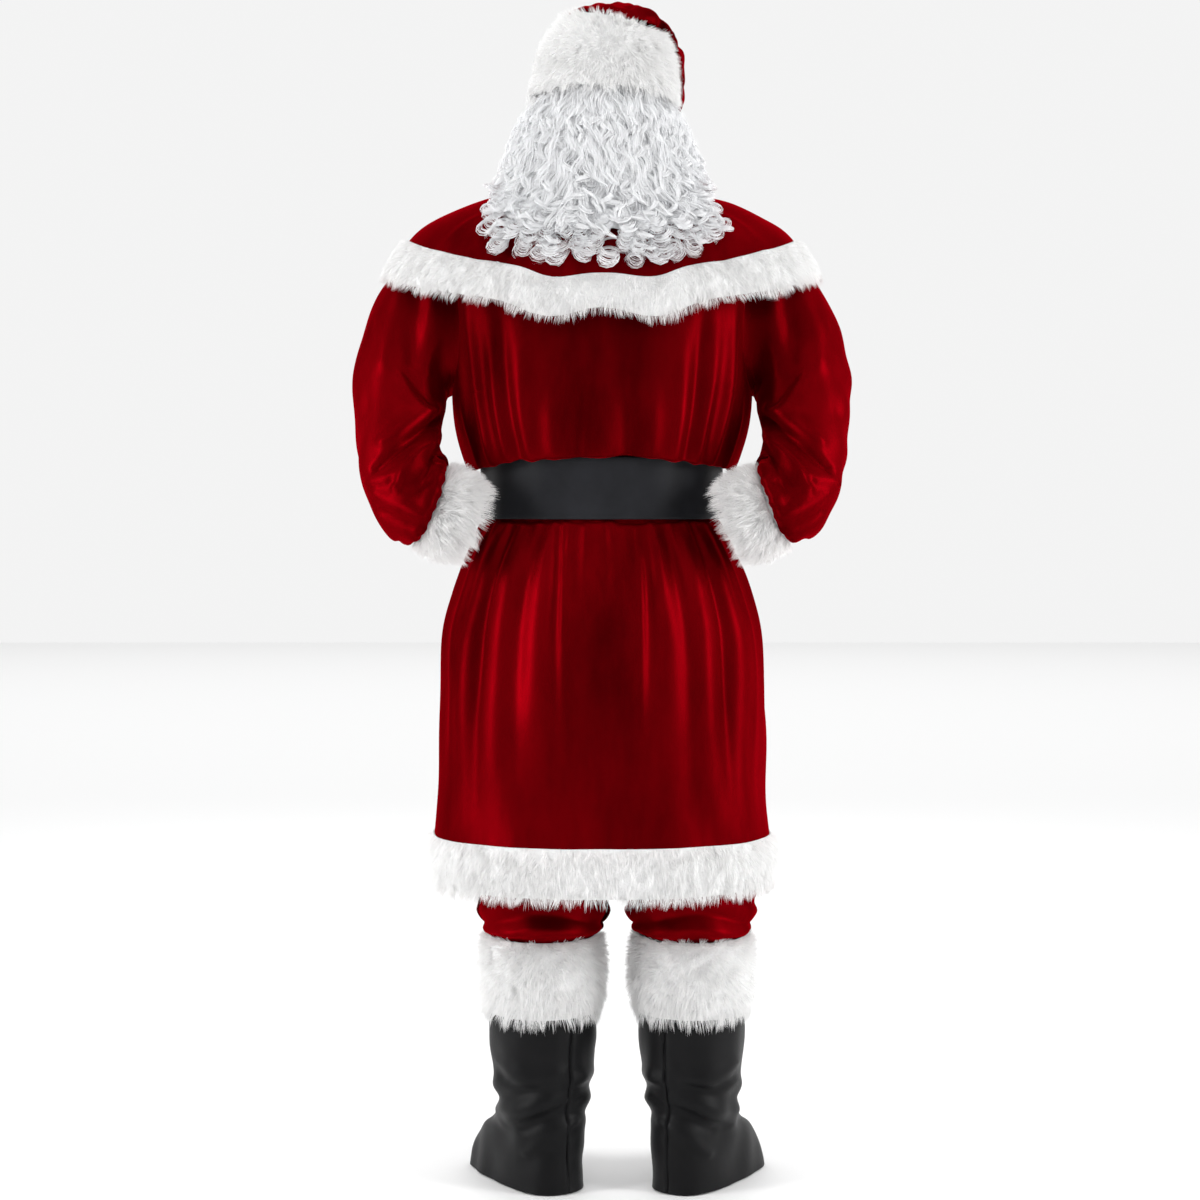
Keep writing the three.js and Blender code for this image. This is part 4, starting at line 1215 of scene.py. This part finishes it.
def ringlets():
    """Layers of ringlets, each layer ending higher than the one under it."""
    locks = []
    for last, count, spread, depth in RINGLET_LAYERS:
        for k in range(count):
            angle = 90 + spread * (2 * (k + 0.5 + RANDOM.uniform(-0.35, 0.35)) / count - 1)
            end = last + RANDOM.uniform(-0.35, 0.05)
            first = end - RANDOM.uniform(2.2, 3.0)
            radius, pitch = RANDOM.uniform(10, 13.5), RANDOM.uniform(18, 24)
            curled, tip_up = RANDOM.uniform(0.35, 0.6), RANDOM.uniform(65, 95)
            locks.append([angle, first, end, radius, pitch, curled, depth, tip_up])
    return locks


def waves():
    """Loosely waving locks from under the hat."""
    locks = []
    for last, count, depth in ((7.8, 66, 5), (6.9, 70, 1), (6.1, 66, -2)):
        for k in range(count):
            angle = mix(-26, 206, (k + RANDOM.uniform(0, 1)) / count)
            end = last + RANDOM.uniform(-0.5, 0.3)
            locks.append([angle, 3.2, end, RANDOM.uniform(4, 7), RANDOM.uniform(24, 34), 0.45, depth, 0])
    return locks


RINGLETS = ringlets()
LOCKS = [
    hair_locks("wig_ringlets_low", RINGLETS[::2], 13, 54, 81, 1.15),
    hair_locks("wig_ringlets_high", RINGLETS[1::2], 13, 54, 82, 1.15),
    hair_locks("wig_waves", waves(), 11, 24, 83, 1.3),
]

# The buckle and the elastics keep their solids

KEPT = [
    (BRASS, ("buckle_frame", "buckle_prong")),
    (ELASTIC, ("waistband", "stirrup_left", "stirrup_right")),
]
for look, nodes in KEPT:
    for name in nodes:
        bpy.data.objects[name].material_slots[0].material = look

for k, side in enumerate(("left", "right")):
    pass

# Floor and light

floor_mesh = bpy.data.meshes.new("floor")
FLOOR_REACH = 14
floor_corners = [(FLOOR_REACH * x, FLOOR_REACH * y, ground) for x, y in ((-1, -1), (1, -1), (1, 1), (-1, 1))]
floor_mesh.from_pydata(floor_corners, [], [(0, 1, 2, 3)])
floor_mesh.materials.append(plain_material("pale floor", (0.93, 0.93, 0.93), 0.8))
floor = bpy.data.objects.new("floor", floor_mesh)
bpy.context.scene.collection.objects.link(floor)


def softbox(name, at, towards, size, power):
    lamp = bpy.data.lights.new(name, "AREA")
    lamp.shape = "RECTANGLE"
    lamp.size, lamp.size_y = size
    lamp.energy = power
    put_facing(name, lamp, at, towards)


middle = (0, 0, ground + 0.9)
softbox("left softbox", (3.4, 1.4, ground + 1.7), middle, (1.0, 2.4), 95)
softbox("right softbox", (-3.4, 1.4, ground + 1.7), middle, (1.0, 2.4), 95)
softbox("top softbox", (0, 1.2, ground + 4.2), middle, (3.0, 2.0), 30)
softbox("front fill", (0, 4.6, ground + 3.6), middle, (3.0, 1.6), 26)
softbox("floor light", (0, -9, ground + 5.0), (0, -9, ground), (18.0, 12.0), 380)
softbox("rear softbox", (0, -3.4, ground + 2.6), middle, (3.0, 1.6), 22)

world = bpy.data.worlds.new("studio")
world.use_nodes = True
sky = world.node_tree
direction = sky.nodes.new("ShaderNodeTexCoord").outputs["Generated"]
split = sky.nodes.new("ShaderNodeSeparateXYZ")
sky.links.new(direction, split.inputs["Vector"])
shade = node(sky, "ShaderNodeMapRange", From_Min=-0.5, From_Max=0.4, To_Min=0.9, To_Max=0.36)
sky.links.new(split.outputs["Y"], shade.inputs["Value"])
sky.nodes["Background"].inputs["Color"].default_value = (1, 1, 1, 1)
sky.links.new(shade.outputs["Result"], sky.nodes["Background"].inputs["Strength"])
bpy.context.scene.world = world
bpy.context.scene.view_settings.view_transform = "Standard"
